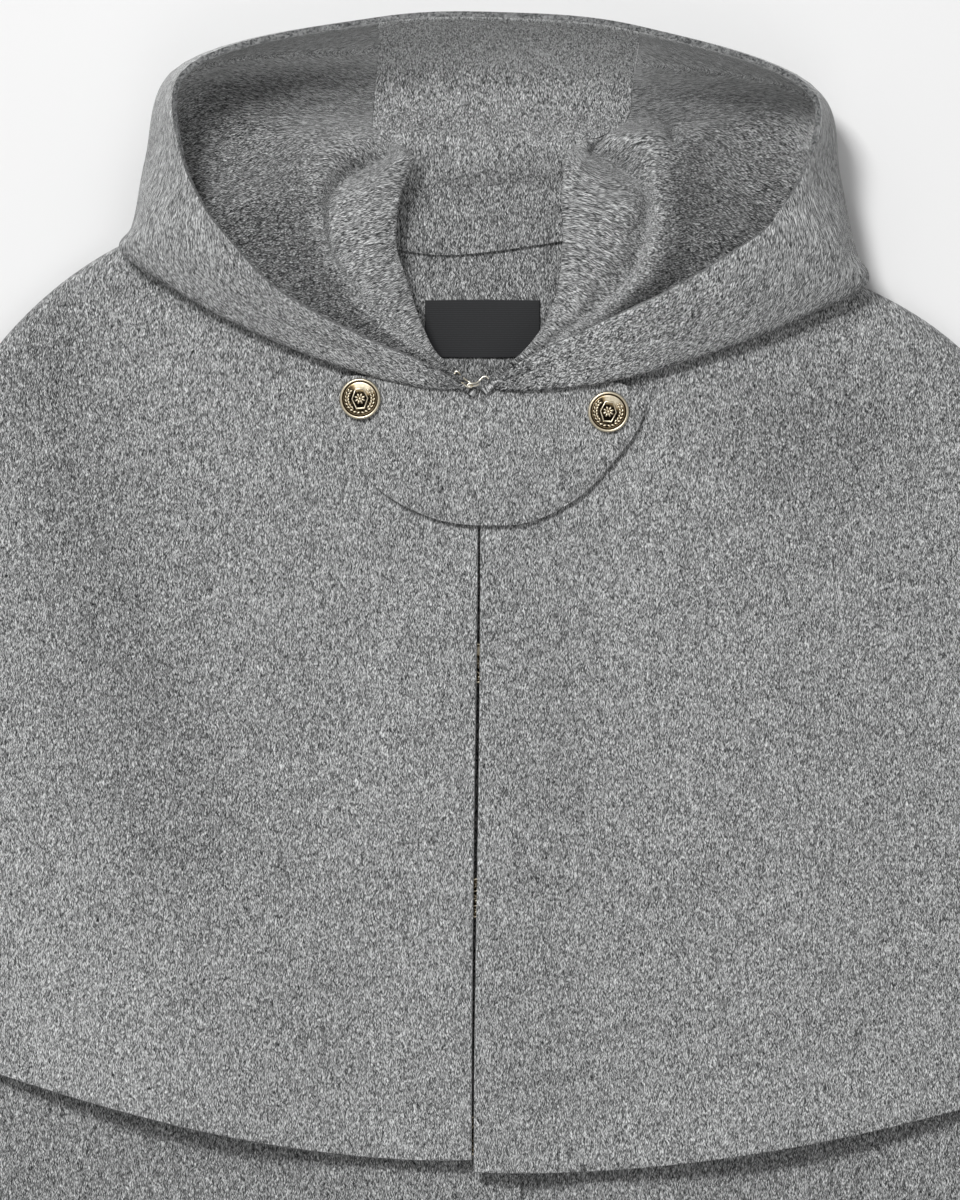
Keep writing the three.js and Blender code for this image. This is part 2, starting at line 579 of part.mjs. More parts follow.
const tabTop = (x, y) => tabHeight(x, y) + CLOTH / 2;
addButton("tab_button_right", -57, -7, tabTop);
addButton("tab_button_left", 63.5, -13.5, tabTop);
const lapTop = (x, y) => coatFrontHeight(x, y) + lapLift(x) + CLOTH / 2;
for (let i = 0; i < COAT_BUTTONS; i++) {
  addButton(`coat_button_${i + 1}`, 0, FIRST_BUTTON - i * BUTTON_SPACING, lapTop);
}

// The eye is sewn to the right end of the hood, the hook to the left one, and the hook lies in the eye.
const WIRE = 0.45;
const throatTop = 33.9;
const EYE_WIRE = [
  [-11.8, 5.2, 0], [-10.9, 6.6, 0], [-9.6, 6, 0], [-8.4, 4.2, 0], [-4.4, 1.2, 0], [-2.9, 0.2, 0],
  [-3.2, -1.2, 0], [-5, -1.3, 0], [-7.2, 0.2, 0], [-9.6, 2, 0],
];
const HOOK_WIRE = [
  [5.4, 2.8, 0], [4, 4, 0], [2.4, 3.7, 0], [0.9, 2.2, 0], [-0.8, 0.9, 0.6], [-3, 0.5, 1.4],
  [-4.9, 0.1, 1.4], [-5.2, -0.8, 1.4], [-3.6, -0.9, 1.4], [-1, -0.6, 0.8], [0.6, 0.2, 0],
];
const onThroat = (path) => path.map(([x, y, z]) => [x, y, z + throatTop]);
add("eye", wire(onThroat(EYE_WIRE), WIRE), metal);
add("hook", wire(onThroat(HOOK_WIRE), WIRE), metal);

const box = new THREE.Box3().setFromObject(garment);
const middle = box.getCenter(vec(0, 0));
garment.position.set(-middle.x, -middle.y, -box.min.z);

export default garment;
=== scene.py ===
"""A hooded wool cape coat, laid flat on its back with the hood turned down, seen from straight above.

The cloth pieces are laid out in plan millimetres, with the throat at the plan's origin, X towards the
wearer's left and Y towards the hood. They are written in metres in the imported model's own frame.
"""

import logging
import math
from dataclasses import dataclass, field
from enum import Enum
from typing import Any, Callable, Sequence

import bmesh
import bpy
import numpy as np
from mathutils import Matrix, Vector


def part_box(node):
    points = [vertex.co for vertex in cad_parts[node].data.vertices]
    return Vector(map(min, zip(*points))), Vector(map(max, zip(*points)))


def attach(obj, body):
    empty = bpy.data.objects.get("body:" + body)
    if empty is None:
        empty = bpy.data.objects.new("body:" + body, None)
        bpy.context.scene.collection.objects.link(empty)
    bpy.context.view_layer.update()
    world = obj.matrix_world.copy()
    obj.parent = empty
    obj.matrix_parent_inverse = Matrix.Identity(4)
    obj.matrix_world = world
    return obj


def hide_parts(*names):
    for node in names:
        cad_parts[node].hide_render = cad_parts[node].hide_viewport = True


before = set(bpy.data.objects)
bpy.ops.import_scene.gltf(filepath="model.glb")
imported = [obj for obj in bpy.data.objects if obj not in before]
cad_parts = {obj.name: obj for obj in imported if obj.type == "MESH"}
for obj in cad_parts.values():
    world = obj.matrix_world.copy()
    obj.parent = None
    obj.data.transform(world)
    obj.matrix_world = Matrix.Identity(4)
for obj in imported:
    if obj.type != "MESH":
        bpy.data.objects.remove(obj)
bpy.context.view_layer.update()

log = logging.getLogger("cape_coat")

Array = np.ndarray
Height = Callable[[Array, Array], Array]
MM = 0.001
# The plan's Y of the lowest coat button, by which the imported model's place is found.
LOWEST_BUTTON_Y = -611.5
# The plan's Y in the middle of the picture.
PICTURE_Y = -107.5
# How far apart a Wave texture's straight bands lie at scale 1, and its slanting ones.
STRAIGHT_BANDS = math.tau / 20
SLANTING_BANDS = math.tau / 10 / math.sqrt(3)


def smooth(start: float, end: float, x: Any) -> Any:
    """A soft step from 0 to 1.

    Args:
        start: Where the step starts.
        end: Where it ends.
        x: A number or an array.

    Returns:
        The step's height at x.
    """
    k = np.clip((x - start) / (end - start), 0.0, 1.0)
    return k * k * (3 - 2 * k)


def bell(x: Any, centre: Any, width: float) -> Any:
    """A round bump of height 1 at the centre."""
    return np.exp(-(((x - centre) / width) ** 2))


def bezier(points: Sequence[Sequence[float]], k: Array) -> Array:
    """Points on a cubic Bezier curve.

    Args:
        points: The start, the two handles and the end.
        k: Places from 0 to 1.

    Returns:
        One point for each place.
    """
    a, b, c, d = (np.array(p, float) for p in points)
    k = np.asarray(k, float)[..., None]
    return (1 - k) ** 3 * a + 3 * (1 - k) ** 2 * k * b + 3 * (1 - k) * k * k * c + k**3 * d


def spline(points: Array, places: Array) -> Array:
    """A centripetal Catmull-Rom spline through the points.

    Args:
        points: Control points, first axis along the spline, last axis the coordinates.
        places: Where to read it, with control point i at place i.

    Returns:
        The points read, with the places as the first axis.
    """
    ends = [2 * points[0] - points[1], 2 * points[-1] - points[-2]]
    row = np.concatenate([ends[0][None], points, ends[1][None]])
    out = []
    for place in np.asarray(places, float):
        i = min(int(place), len(points) - 2)
        k = place - i
        p0, p1, p2, p3 = row[i : i + 4]
        d1, d2, d3 = (
            np.maximum(np.linalg.norm(b - a, axis=-1, keepdims=True), 1e-6) ** 0.5
            for a, b in ((p0, p1), (p1, p2), (p2, p3))
        )
        m1 = ((p1 - p0) / d1 - (p2 - p0) / (d1 + d2) + (p2 - p1) / d2) * d2
        m2 = ((p2 - p1) / d2 - (p3 - p1) / (d2 + d3) + (p3 - p2) / d3) * d2
        a, b = 2 * p1 - 2 * p2 + m1 + m2, -3 * p1 + 3 * p2 - 2 * m1 - m2
        out.append(a * k**3 + b * k**2 + m1 * k + p1)
    return np.array(out)


class Side(Enum):
    """The wearer's sides. The value is the sign of X."""

    RIGHT = -1
    LEFT = 1

    @property
    def word(self) -> str:
        """The side's name in a piece's name."""
        return self.name.lower()


@dataclass(frozen=True)
class SidePlan:
    """One side of the garment in plan, in millimetres."""

    neck_handles: tuple[tuple[float, float], ...]
    shoulder: tuple[float, float]
    shoulder_handle: tuple[float, float]
    widest_handle: tuple[float, float]
    widest: tuple[float, float]
    capelet_hem: float
    hem_centre: tuple[float, float]
    hem_handles: tuple[tuple[float, float], ...]


@dataclass(frozen=True)
class Crease:
    """A soft mark along a line in plan, in millimetres: a trough, or a ridge where its height is above 0.

    For painted shade it is a stripe of darker colour, lighter where its height is above 0, and its height
    says how much.
    """

    start: tuple[float, float]
    end: tuple[float, float]
    width: float
    height: float

    def at(self, x: Array, y: Array) -> Array:
        """How far it lifts each plan point."""
        (ax, ay), (bx, by) = self.start, self.end
        dx, dy = bx - ax, by - ay
        k = np.clip(((x - ax) * dx + (y - ay) * dy) / (dx * dx + dy * dy), 0, 1)
        away = np.hypot(x - ax - dx * k, y - ay - dy * k)
        return self.height * bell(away, 0, self.width)


@dataclass
class Plan:
    """The sizes that all layers share, the outline of the garment and the height of each layer."""

    cloth: float = 2.5
    rim_cloth: float = 4.2
    seam: float = 0.3
    air: float = 0.7
    tab_air: float = 0.95
    slack: float = 1.0
    rest: float = 0.4
    nest: float = 4.0
    coat_hem: float = -760.0
    capelet_hem: float = -388.0
    coat_half_hem: float = 400.0
    overlap: float = 21.5
    bag_thickness: float = 5.6
    bag_centre: tuple[float, float] = (8.0, 60.0)
    bag_reach: tuple[float, float] = (96.0, 98.0)
    front_slack: float = 1.6
    side_puff: float = 1.2
    button_lift: float = 5.2
    coat_flutes: tuple[tuple[float, float, float], ...] = (
        (-262, 40, 7),
        (-118, 46, 5),
        (128, 48, 5.5),
        (272, 38, 6.5),
    )
    capelet_flutes: tuple[tuple[float, float, float], ...] = ((-150, 62, 7), (150, 70, 6.5))
    # Stripes of painted shade on the capelet's colour, painted light where a height is above 0.
    capelet_painted_shade: tuple[Crease, ...] = (
        Crease((-221, 18), (-149, -227), 34, -0.36),
        Crease((-205, -330), (-215, -260), 40, 0.2),
        Crease((151, -26), (190, -20), 32, -0.36),
        Crease((70, -60), (60, -130), 30, 0.12),
        Crease((250, 20), (290, -60), 26, -0.2),
    )
    capelet_creases: tuple[Crease, ...] = (
        Crease((-232, 0), (-212, -230), 42, 5.0),
        Crease((-150, -40), (-120, -330), 60, 2.2),
        Crease((128, -40), (150, -210), 52, 3.6),
        Crease((222, -90), (236, -250), 46, -1.2),
        Crease((62, -300), (76, -350), 34, 1.2),
    )
    sides: dict[Side, SidePlan] = field(
        default_factory=lambda: {
            Side.RIGHT: SidePlan(
                ((-30, 14), (-66, 45)), (-68, 93), (-128, 93), (-266, 87), (-306, -143),
                -313, (-3.5, -387.5), ((-110, -392), (-235, -348)),
            ),
            Side.LEFT: SidePlan(
                ((34, 12), (72, 45)), (72, 93), (200, 43), (281, 54), (312, -150),
                -333, (0.5, -393.5), ((110, -399), (236, -368)),
            ),
        }
    )
    back_neck_handles: tuple[tuple[float, float], ...] = ((-30, 99), (40, 103))

    def __post_init__(self) -> None:
        """Samples both outlines once."""
        self.edges = {side: self.outline(side, self.coat_hem, 91) for side in Side}

    def outline(self, side: Side, hem: float, count: int) -> Array:
        """One side's outline, from the neck to the hem, in even steps.

        Args:
            side: The wearer's side.
            hem: The hem's Y.
            count: How many points.

        Returns:
            The points, one per row.
        """
        s = self.sides[side]
        curve = bezier((s.shoulder, s.shoulder_handle, s.widest_handle, s.widest), np.linspace(0, 1, 1200))
        bottom = np.array([side.value * self.coat_half_hem, self.coat_hem + 55])
        share = (hem - s.widest[1]) / (bottom[1] - s.widest[1])
        end = np.array(s.widest) + (bottom - s.widest) * share
        flare = np.linspace(s.widest, end, 1200)[1:]
        path = np.concatenate([curve, flare])
        length = np.concatenate([[0], np.cumsum(np.linalg.norm(np.diff(path, axis=0), axis=1))])
        at = np.linspace(0, length[-1], count)
        return np.stack([np.interp(at, length, path[:, i]) for i in (0, 1)], axis=1)

    def fold(self, side: Side, hem: float, inset: float, places: Array) -> Callable[[float], Array]:
        """A layer's side fold in plan.

        Args:
            side: The wearer's side.
            hem: The hem's Y.
            inset: How far in from the outline the fold lies.
            places: Places down the side, from 0 to 1.

        Returns:
            A function that gives the plan points a distance further in.
        """
        path = self.outline(side, hem, 3001)
        along = np.gradient(path, axis=0)
        along /= np.linalg.norm(along, axis=1, keepdims=True)
        at = places * 3000
        p = np.stack([np.interp(at, np.arange(3001), path[:, i]) for i in (0, 1)], axis=1)
        t = np.stack([np.interp(at, np.arange(3001), along[:, i]) for i in (0, 1)], axis=1)
        inward = side.value * np.stack([t[:, 1], -t[:, 0]], axis=1)
        return lambda distance: p + inward * (inset + distance)

    def side_distance(self, x: Array, y: Array) -> Array:
        """How far each plan point lies from the garment's side."""
        result = np.full(x.shape, np.inf)
        for side in Side:
            points = self.edges[side]
            mine = x < 0 if side is Side.RIGHT else x >= 0
            px, py = x[mine], y[mine]
            best = np.full(px.shape, np.inf)
            for a, b in zip(points[:-1], points[1:]):
                step = b - a
                k = np.clip(((px - a[0]) * step[0] + (py - a[1]) * step[1]) / (step @ step), 0, 1)
                best = np.minimum(best, np.hypot(px - a[0] - step[0] * k, py - a[1] - step[1] * k))
            result[mine] = best
        return result

    def shoulder_top(self, x: Array) -> Array:
        """The top of the outline at each X: the back neck, or the shoulder past it."""
        right, left = self.edges[Side.RIGHT], self.edges[Side.LEFT]
        top = np.where(x < 0, np.interp(-x, -right[:, 0], right[:, 1]), np.interp(x, left[:, 0], left[:, 1]))
        between = (x > self.sides[Side.RIGHT].shoulder[0]) & (x < self.sides[Side.LEFT].shoulder[0])
        return np.where(between, 97.0, top)

    def bag_lift(self, x: Array, y: Array) -> Array:
        """How far the hood's spare cloth lifts what lies on it."""
        (cx, cy), (rx, ry) = self.bag_centre, self.bag_reach
        reach = np.hypot((x - cx) / rx, np.minimum(0, y - cy) / ry)
        return (self.bag_thickness + self.air + self.seam) * (1 - smooth(1.02, 2.3, reach))

    def capelet_back(self, x: Array, y: Array) -> Array:
        """The middle of the capelet's back."""
        return self.cloth / 2 + self.bag_lift(x, y)

    def coat_back(self, x: Array, y: Array) -> Array:
        """The middle of the coat's back, which drops to the table below the capelet."""
        hem = self.capelet_hem - 12 + x * x / 1500
        covered = 1 - smooth(24, 84, hem - y)
        return self.capelet_back(x, y) + (self.cloth + self.air + self.slack) * covered

    def coat_front(self, x: Array, y: Array) -> Array:
        """The middle of the coat's front, with soft flutes towards the hem."""
        below = smooth(-430, self.coat_hem, y)
        flutes = sum(
            h * below * np.exp(-(((x - c * (1 + 0.25 * below)) / (w * (0.7 + 0.3 * below))) ** 2))
            for c, w, h in self.coat_flutes
        )
        side = self.side_puff * bell(self.side_distance(x, y), 8, 22)
        return self.coat_back(x, y) + self.cloth + self.air + self.front_slack + side + flutes

    def lap_lift(self, x: Array) -> Array:
        """How far the wearer's right front is lifted by the left one under it."""
        return (self.cloth + self.air + self.slack / 2) * smooth(-62, -self.overlap - 6, x)

    def capelet_front(self, x: Array, y: Array) -> Array:
        """The middle of the capelet's front."""
        lap = (self.cloth + self.air) * smooth(-66, -34, x) * (1 - smooth(26, 66, x))
        buttons = self.button_lift * (1 - smooth(4, 58, np.abs(x))) * smooth(-62, -116, y)
        below = smooth(-150, self.capelet_hem + 10, y)
        flutes = sum(h * below * bell(x, c, w) for c, w, h in self.capelet_flutes)
        creases = sum(crease.at(x, y) for crease in self.capelet_creases)
        return self.coat_front(x, y) + self.cloth + self.air + lap + buttons + flutes + creases + self.slack

    def capelet_top(self, x: Array, y: Array) -> Array:
        """The capelet's upper face."""
        return self.capelet_front(x, y) + self.cloth / 2

    def hood_support(self, x: Array, y: Array) -> Array:
        """What the hood lies on: the capelet with the tab on it, and the table past the shoulders."""
        reach = np.hypot(x - 4, y - 8) / 80
        tab = (self.cloth + self.tab_air) * (1 - smooth(1.04, 1.3, reach)) * (1 - smooth(6, 26, y))
        edge = self.shoulder_top(x)
        top = self.capelet_top(x, np.minimum(y, edge - 8)) + tab
        return top * (1 - smooth(-3, 28, y - edge))


PLAN = Plan()


def plan_shift() -> Array:
    """The plan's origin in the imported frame, in millimetres, found from the lowest coat button."""
    low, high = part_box("coat_button_5")
    middle = (low + high) / 2 / MM
    return np.array([middle.x, middle.y - LOWEST_BUTTON_Y, 0.0])


SHIFT = plan_shift()


def linear(hex_colour: str) -> tuple[float, float, float, float]:
    """A linear colour from an sRGB hex value."""
    parts = [int(hex_colour.lstrip("#")[i : i + 2], 16) / 255 for i in (0, 2, 4)]
    return (*(p / 12.92 if p <= 0.04045 else ((p + 0.055) / 1.055) ** 2.4 for p in parts), 1.0)


class NodeTree:
    """A material's nodes, added one at a time."""

    def __init__(self, name: str) -> None:
        """Starts a material that holds a shader and its output."""
        self.material = bpy.data.materials.new(name)
        self.material.use_nodes = True
        self.nodes = self.material.node_tree.nodes
        self.shader = self.nodes["Principled BSDF"]

    def add(self, kind: str, settings: dict[str, Any] | None = None, **inputs: Any) -> Any:
        """Adds a node with its settings and links.

        Args:
            kind: The node's type, without the ShaderNode that it starts with.
            settings: Its properties, by name.
            inputs: Its sockets, by name with spaces as underscores, or by number as i0, i1 and so on. A
                socket is linked and anything else is a value.

        Returns:
            The node.
        """
        node = self.nodes.new("ShaderNode" + kind)
        for key, value in (settings or {}).items():
            setattr(node, key, value)
        for key, value in inputs.items():
            by_number = key[0] == "i" and key[1:].isdigit()
            self.join(node.inputs[int(key[1:])] if by_number else node.inputs[key.replace("_", " ")], value)
        return node

    def join(self, socket: Any, value: Any) -> None:
        """Links a socket to another one, or sets its value."""
        if isinstance(value, bpy.types.NodeSocket):
            self.material.node_tree.links.new(value, socket)
        else:
            socket.default_value = value

    def finish(self, **inputs: Any) -> bpy.types.Material:
        """Sets the shader's sockets.

        Args:
            inputs: Values or sockets, by socket name with spaces as underscores.

        Returns:
            The material.
        """
        for key, value in inputs.items():
            self.join(self.shader.inputs[key.replace("_", " ")], value)
        return self.material


def coloured(ramp: Any, dark: str, pale: str, between: tuple[float, str] | None = None) -> Any:
    """Colours a ramp, from dark to pale.

    Args:
        ramp: The ramp's node.
        dark: Its first colour, as an sRGB hex value.
        pale: Its last one.
        between: The place of one more colour, and that colour.

    Returns:
        The ramp's colour socket.
    """
    stops = ramp.color_ramp.elements
    stops[0].color = linear(dark)
    stops[1].color = linear(pale)
    if between:
        stops.new(between[0]).color = linear(between[1])
    return ramp.outputs["Color"]


@dataclass(frozen=True)
class BrushedWool:
    """Double-faced wool, woven in heather grey and brushed so that its fibres lie one way.

    Pale and dark fibres lie over each other in short locks along the nap. The eye reads them as a fine
    salt-and-pepper grain with a soft, almost matt face. Shade and light are painted into its colour by a
    per-point attribute: painted shade below 0, down to -1, and painted light above 0, up to 1. The locks
    are drawn a little coarser than real fibres, so that they show.
    """

    name: str = "brushed_heather_wool"
    dark: str = "#1c1d1e"
    mid: str = "#808181"
    pale: str = "#eeefef"
    lock_mm: float = 0.25
    lock_length_mm: float = 1.3
    clump_mm: float = 6.0
    cloud_mm: float = 24.0
    fibre_mm: float = 0.45
    bump_mm: float = 0.22
    # How far the locks sway, across and along the nap.
    sway_mm: tuple[float, float] = (1.5, 0.6)
    # Each layer of locks: its turn in radians, and the shares of the lock's width and length.
    locks: tuple[tuple[float, float, float], ...] = ((0.0, 1.0, 1.0), (0.32, 0.9, 0.85), (-0.28, 1.1, 0.9))
    cloud_share: float = 0.14
    # How far the painted shade and light attribute moves the tone.
    painted_shade_weight: float = 0.38
    tones: tuple[float, float] = (0.9, 2.74)

    def build(self) -> bpy.types.Material:
        """Builds the wool from its own map, whose second axis runs along the nap."""
        t = NodeTree(self.name)
        flat = {"noise_dimensions": "2D"}
        uv = t.add("UVMap", {"uv_map": "nap"}).outputs[0]
        sway = t.add("TexNoise", flat, Vector=uv, Scale=1 / (self.clump_mm * MM), Detail=1.0)
        swayed = t.add("VectorMath", {"operation": "MULTIPLY_ADD"}, i0=sway.outputs["Color"],
                       i1=(self.sway_mm[0] * MM, self.sway_mm[1] * MM, 0.0), i2=uv).outputs[0]
        top: Any = 0.0
        for turn, width, length in self.locks:
            laid = t.add("Mapping", {"vector_type": "TEXTURE"}, Vector=swayed, Rotation=(0, 0, turn),
                         Scale=(self.lock_mm * width * MM, self.lock_length_mm * length * MM, 1))
            lock = t.add("TexVoronoi", {"voronoi_dimensions": "2D"}, Vector=laid.outputs[0], Scale=1.0)
            shade = t.add("SeparateColor", None, Color=lock.outputs["Color"]).outputs[0]
            top = t.add("Math", {"operation": "ADD"}, i0=top, i1=shade).outputs[0]
        fibre = t.add("TexNoise", flat, Vector=swayed, Scale=1 / (self.fibre_mm * MM), Detail=1.0)
        grain = t.add("Math", {"operation": "MULTIPLY_ADD"}, i0=fibre.outputs["Fac"], i1=0.5,
                      i2=top).outputs[0]
        clouds = t.add("TexNoise", flat, Vector=uv, Scale=1 / (self.cloud_mm * MM), Detail=4.0,
                       Roughness=0.6).outputs["Fac"]
        cloudy = t.add("Math", {"operation": "MULTIPLY_ADD"}, i0=clouds, i1=self.cloud_share,
                       i2=grain).outputs[0]
        # Painted shade and light: a per-point attribute darkens or lightens the tone.
        painted_shading = t.add("Attribute", {"attribute_name": "painted_shading"}).outputs["Fac"]
        tone = t.add("Math", {"operation": "MULTIPLY_ADD"}, i0=painted_shading, i1=self.painted_shade_weight, i2=cloudy).outputs[0]
        share = t.add("MapRange", None, Value=tone, From_Min=self.tones[0], From_Max=self.tones[1]).outputs[0]
        colour = coloured(t.add("ValToRGB", None, Fac=share), self.dark, self.pale, (0.5, self.mid))
        bump = t.add("Bump", None, Height=grain, Strength=0.6, Distance=self.bump_mm * MM)
        return t.finish(Base_Color=colour, Roughness=0.92, Specular_IOR_Level=0.15,
                        Sheen_Weight=0.15, Sheen_Roughness=0.5, Normal=bump.outputs["Normal"])


@dataclass(frozen=True)
class CutWoolEdge:
    """The same wool on its turned and cut edges, where the fibres stand out evenly on all sides.

    The eye reads a fine, felted edge with no streaks.
    """

    name: str = "felted_wool_edge"
    dark: str = "#27292a"
    pale: str = "#989999"
    fibre_mm: float = 0.85
    tuft_mm: float = 3.0
    bump_mm: float = 0.3

    def build(self) -> bpy.types.Material:
        """Builds the edge's even grain."""
        t = NodeTree(self.name)
        place = t.add("TexCoord").outputs["Object"]
        fibre = t.add("TexVoronoi", None, Vector=place, Scale=1 / (self.fibre_mm * MM))
        shade = t.add("SeparateColor", None, Color=fibre.outputs["Color"]).outputs[0]
        tufts = t.add("TexNoise", None, Vector=place, Scale=1 / (self.tuft_mm * MM), Detail=3.0)
        grain = t.add("Math", {"operation": "ADD"}, i0=shade, i1=tufts.outputs["Fac"]).outputs[0]
        share = t.add("MapRange", None, Value=grain, From_Min=0.3, From_Max=1.7).outputs[0]
        colour = coloured(t.add("ValToRGB", None, Fac=share), self.dark, self.pale)
        bump = t.add("Bump", None, Height=grain, Strength=0.7, Distance=self.bump_mm * MM)
        return t.finish(Base_Color=colour, Roughness=0.95, Specular_IOR_Level=0.12,
                        Sheen_Weight=0.15, Sheen_Roughness=0.5, Normal=bump.outputs["Normal"])


@dataclass(frozen=True)
class Wool:
    """The two finishes of the cloth: its brushed face and its edges."""

    face: bpy.types.Material
    edge: bpy.types.Material


@dataclass(frozen=True)
class WovenTape:
    """A black damask label tape: tight satin weave, fine cross ribs, a low even sheen.

    Real ribs lie about half a millimetre apart. They are drawn at twice that, so that they show.
    """

    name: str = "black_woven_tape"
    dark: str = "#17181a"
    pale: str = "#303134"
    rib_mm: float = 1.0851
    thread_mm: float = 0.5
    bump_mm: float = 0.08

    def build(self) -> bpy.types.Material:
        """Builds the tape, ribbed along its length."""
        t = NodeTree(self.name)
        place = t.add("TexCoord").outputs["Object"]
        ribs = t.add("TexWave", {"bands_direction": "Y"}, Vector=place,
                     Scale=STRAIGHT_BANDS / (self.rib_mm * MM), Distortion=0.4, Detail=2.0).outputs["Fac"]
        threads = t.add("TexNoise", None, Vector=place, Scale=1 / (self.thread_mm * MM),
                        Detail=2.0).outputs["Fac"]
        mixed = t.add("Math", {"operation": "MULTIPLY"}, i0=ribs, i1=threads).outputs[0]
        colour = coloured(t.add("ValToRGB", None, Fac=mixed), self.dark, self.pale)
        bump = t.add("Bump", None, Height=mixed, Strength=0.3, Distance=self.bump_mm * MM)
        return t.finish(Base_Color=colour, Roughness=0.62, Specular_IOR_Level=0.35,
                        Normal=bump.outputs["Normal"])


@dataclass(frozen=True)
class AntiqueGold:
    """Die-struck brass, plated in pale gold and blackened in its recesses, with its ridges rubbed bright.

    The eye reads a pale champagne rim and relief on an almost black ground. One side of a button's face is
    painted bright as a highlight, by the same attribute. The throat's wires have the plating without the
    blackening, and read as plain pale metal.
    """

    name: str = "antique_gold_plate"
    bright: str = "#eadfc6"
    warm: str = "#b39d77"
    dark: str = "#14110d"
    blackened: bool = True
    mottle_mm: float = 1.1

    def build(self) -> bpy.types.Material:
        """Builds the plating, which reads the attribute of wear and painted highlight where the piece has
        one.
        """
        t = NodeTree(self.name)
        place = t.add("TexCoord").outputs["Object"]
        mottle = t.add("TexNoise", None, Vector=place, Scale=1 / (self.mottle_mm * MM),
                       Detail=4.0).outputs["Fac"]
        if self.blackened:
            # The attribute holds the rubbed wear and the face's painted highlight.
            wear_and_highlight = t.add("Attribute", {"attribute_name": "wear_and_highlight"}).outputs["Fac"]
            worn = t.add("Math", {"operation": "MULTIPLY_ADD"}, i0=mottle, i1=0.35, i2=wear_and_highlight).outputs[0]
            share = t.add("MapRange", None, Value=worn, From_Min=0.25, From_Max=1.1).outputs[0]
        else:
            share = t.add("MapRange", None, Value=mottle, From_Min=0.2, From_Max=0.5).outputs[0]
        colour = coloured(t.add("ValToRGB", None, Fac=share), self.dark, self.bright, (0.6, self.warm))
        rough = t.add("MapRange", None, Value=mottle, To_Min=0.26, To_Max=0.44).outputs[0]
        return t.finish(Base_Color=colour, Metallic=1.0, Roughness=rough)


@dataclass(frozen=True)
class SewingThread:
    """Grey polyester sewing thread: two plies with a soft shine.

    The eye reads fine slanting bands. They are drawn about twice as wide as real plies, so that they show.
    """

    name: str = "grey_sewing_thread"
    dark: str = "#2c2d2e"
    pale: str = "#606263"
    ply_mm: float = 0.9113

    def build(self) -> bpy.types.Material:
        """Builds the thread, with its plies as fine slanting bands."""
        t = NodeTree(self.name)
        place = t.add("TexCoord").outputs["Object"]
        plies = t.add("TexWave", {"bands_direction": "DIAGONAL"}, Vector=place,
                      Scale=SLANTING_BANDS / (self.ply_mm * MM), Distortion=0.3).outputs["Fac"]
        colour = coloured(t.add("ValToRGB", None, Fac=plies), self.dark, self.pale)
        return t.finish(Base_Color=colour, Roughness=0.6)


@dataclass(frozen=True)
class StudioFloor:
    """A painted pale board, smooth and matt, which the eye reads as an even near white."""

    name: str = "pale_studio_floor"
    colour: str = "#f0f0f0"
    roller_mm: float = 2.5

    def build(self) -> bpy.types.Material:
        """Builds the floor's paint, with a trace of roller texture."""
        t = NodeTree(self.name)
        place = t.add("TexCoord").outputs["Object"]
        roller = t.add("TexNoise", None, Vector=place, Scale=1 / (self.roller_mm * MM),
                       Detail=2.0).outputs["Fac"]
        bump = t.add("Bump", None, Height=roller, Strength=0.05, Distance=0.1 * MM)
        return t.finish(Base_Color=linear(self.colour), Roughness=0.9, Normal=bump.outputs["Normal"])


def new_object(name: str, bm: bmesh.types.BMesh, material: bpy.types.Material) -> bpy.types.Object:
    """Turns a bmesh in metres into an object at the origin, smooth shaded.

    Args:
        name: The piece's name.
        bm: The mesh, freed here.
        material: Its finish.

    Returns:
        The object.
    """
    mesh = bpy.data.meshes.new(name)
    bm.to_mesh(mesh)
    bm.free()
    mesh.materials.append(material)
    mesh.shade_smooth()
    obj = bpy.data.objects.new(name, mesh)
    bpy.context.scene.collection.objects.link(obj)
    return obj


def enrol(obj: bpy.types.Object, *nodes: str, slot: str | None = None) -> bpy.types.Object:
    """Makes a piece ride on the garment and stand for its solids.

    Args:
        obj: The piece.
        nodes: The solids that it replaces.
        slot: The material slot, where it isn't the first solid's. It is not used.

    Returns:
        The piece.
    """
    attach(obj, "root")
    if nodes:
        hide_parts(*nodes)
    return obj


def lengths_along(grid: Array, axis: int) -> Array:
    """The distance run along one axis of a grid of points, from its start."""
    steps = np.linalg.norm(np.diff(grid, axis=axis), axis=-1)
    pad = [(1, 0) if i == axis else (0, 0) for i in (0, 1)]
    return np.cumsum(np.pad(steps, pad), axis=axis)


def mid_area(grid: Array) -> float:
    """The area of a grid of points in millimetres, in square metres."""
    a, b = grid[1:, 1:] - grid[:-1, :-1], grid[1:, :-1] - grid[:-1, 1:]
    return float(np.linalg.norm(np.cross(a, b), axis=-1).sum() / 2 * MM * MM)


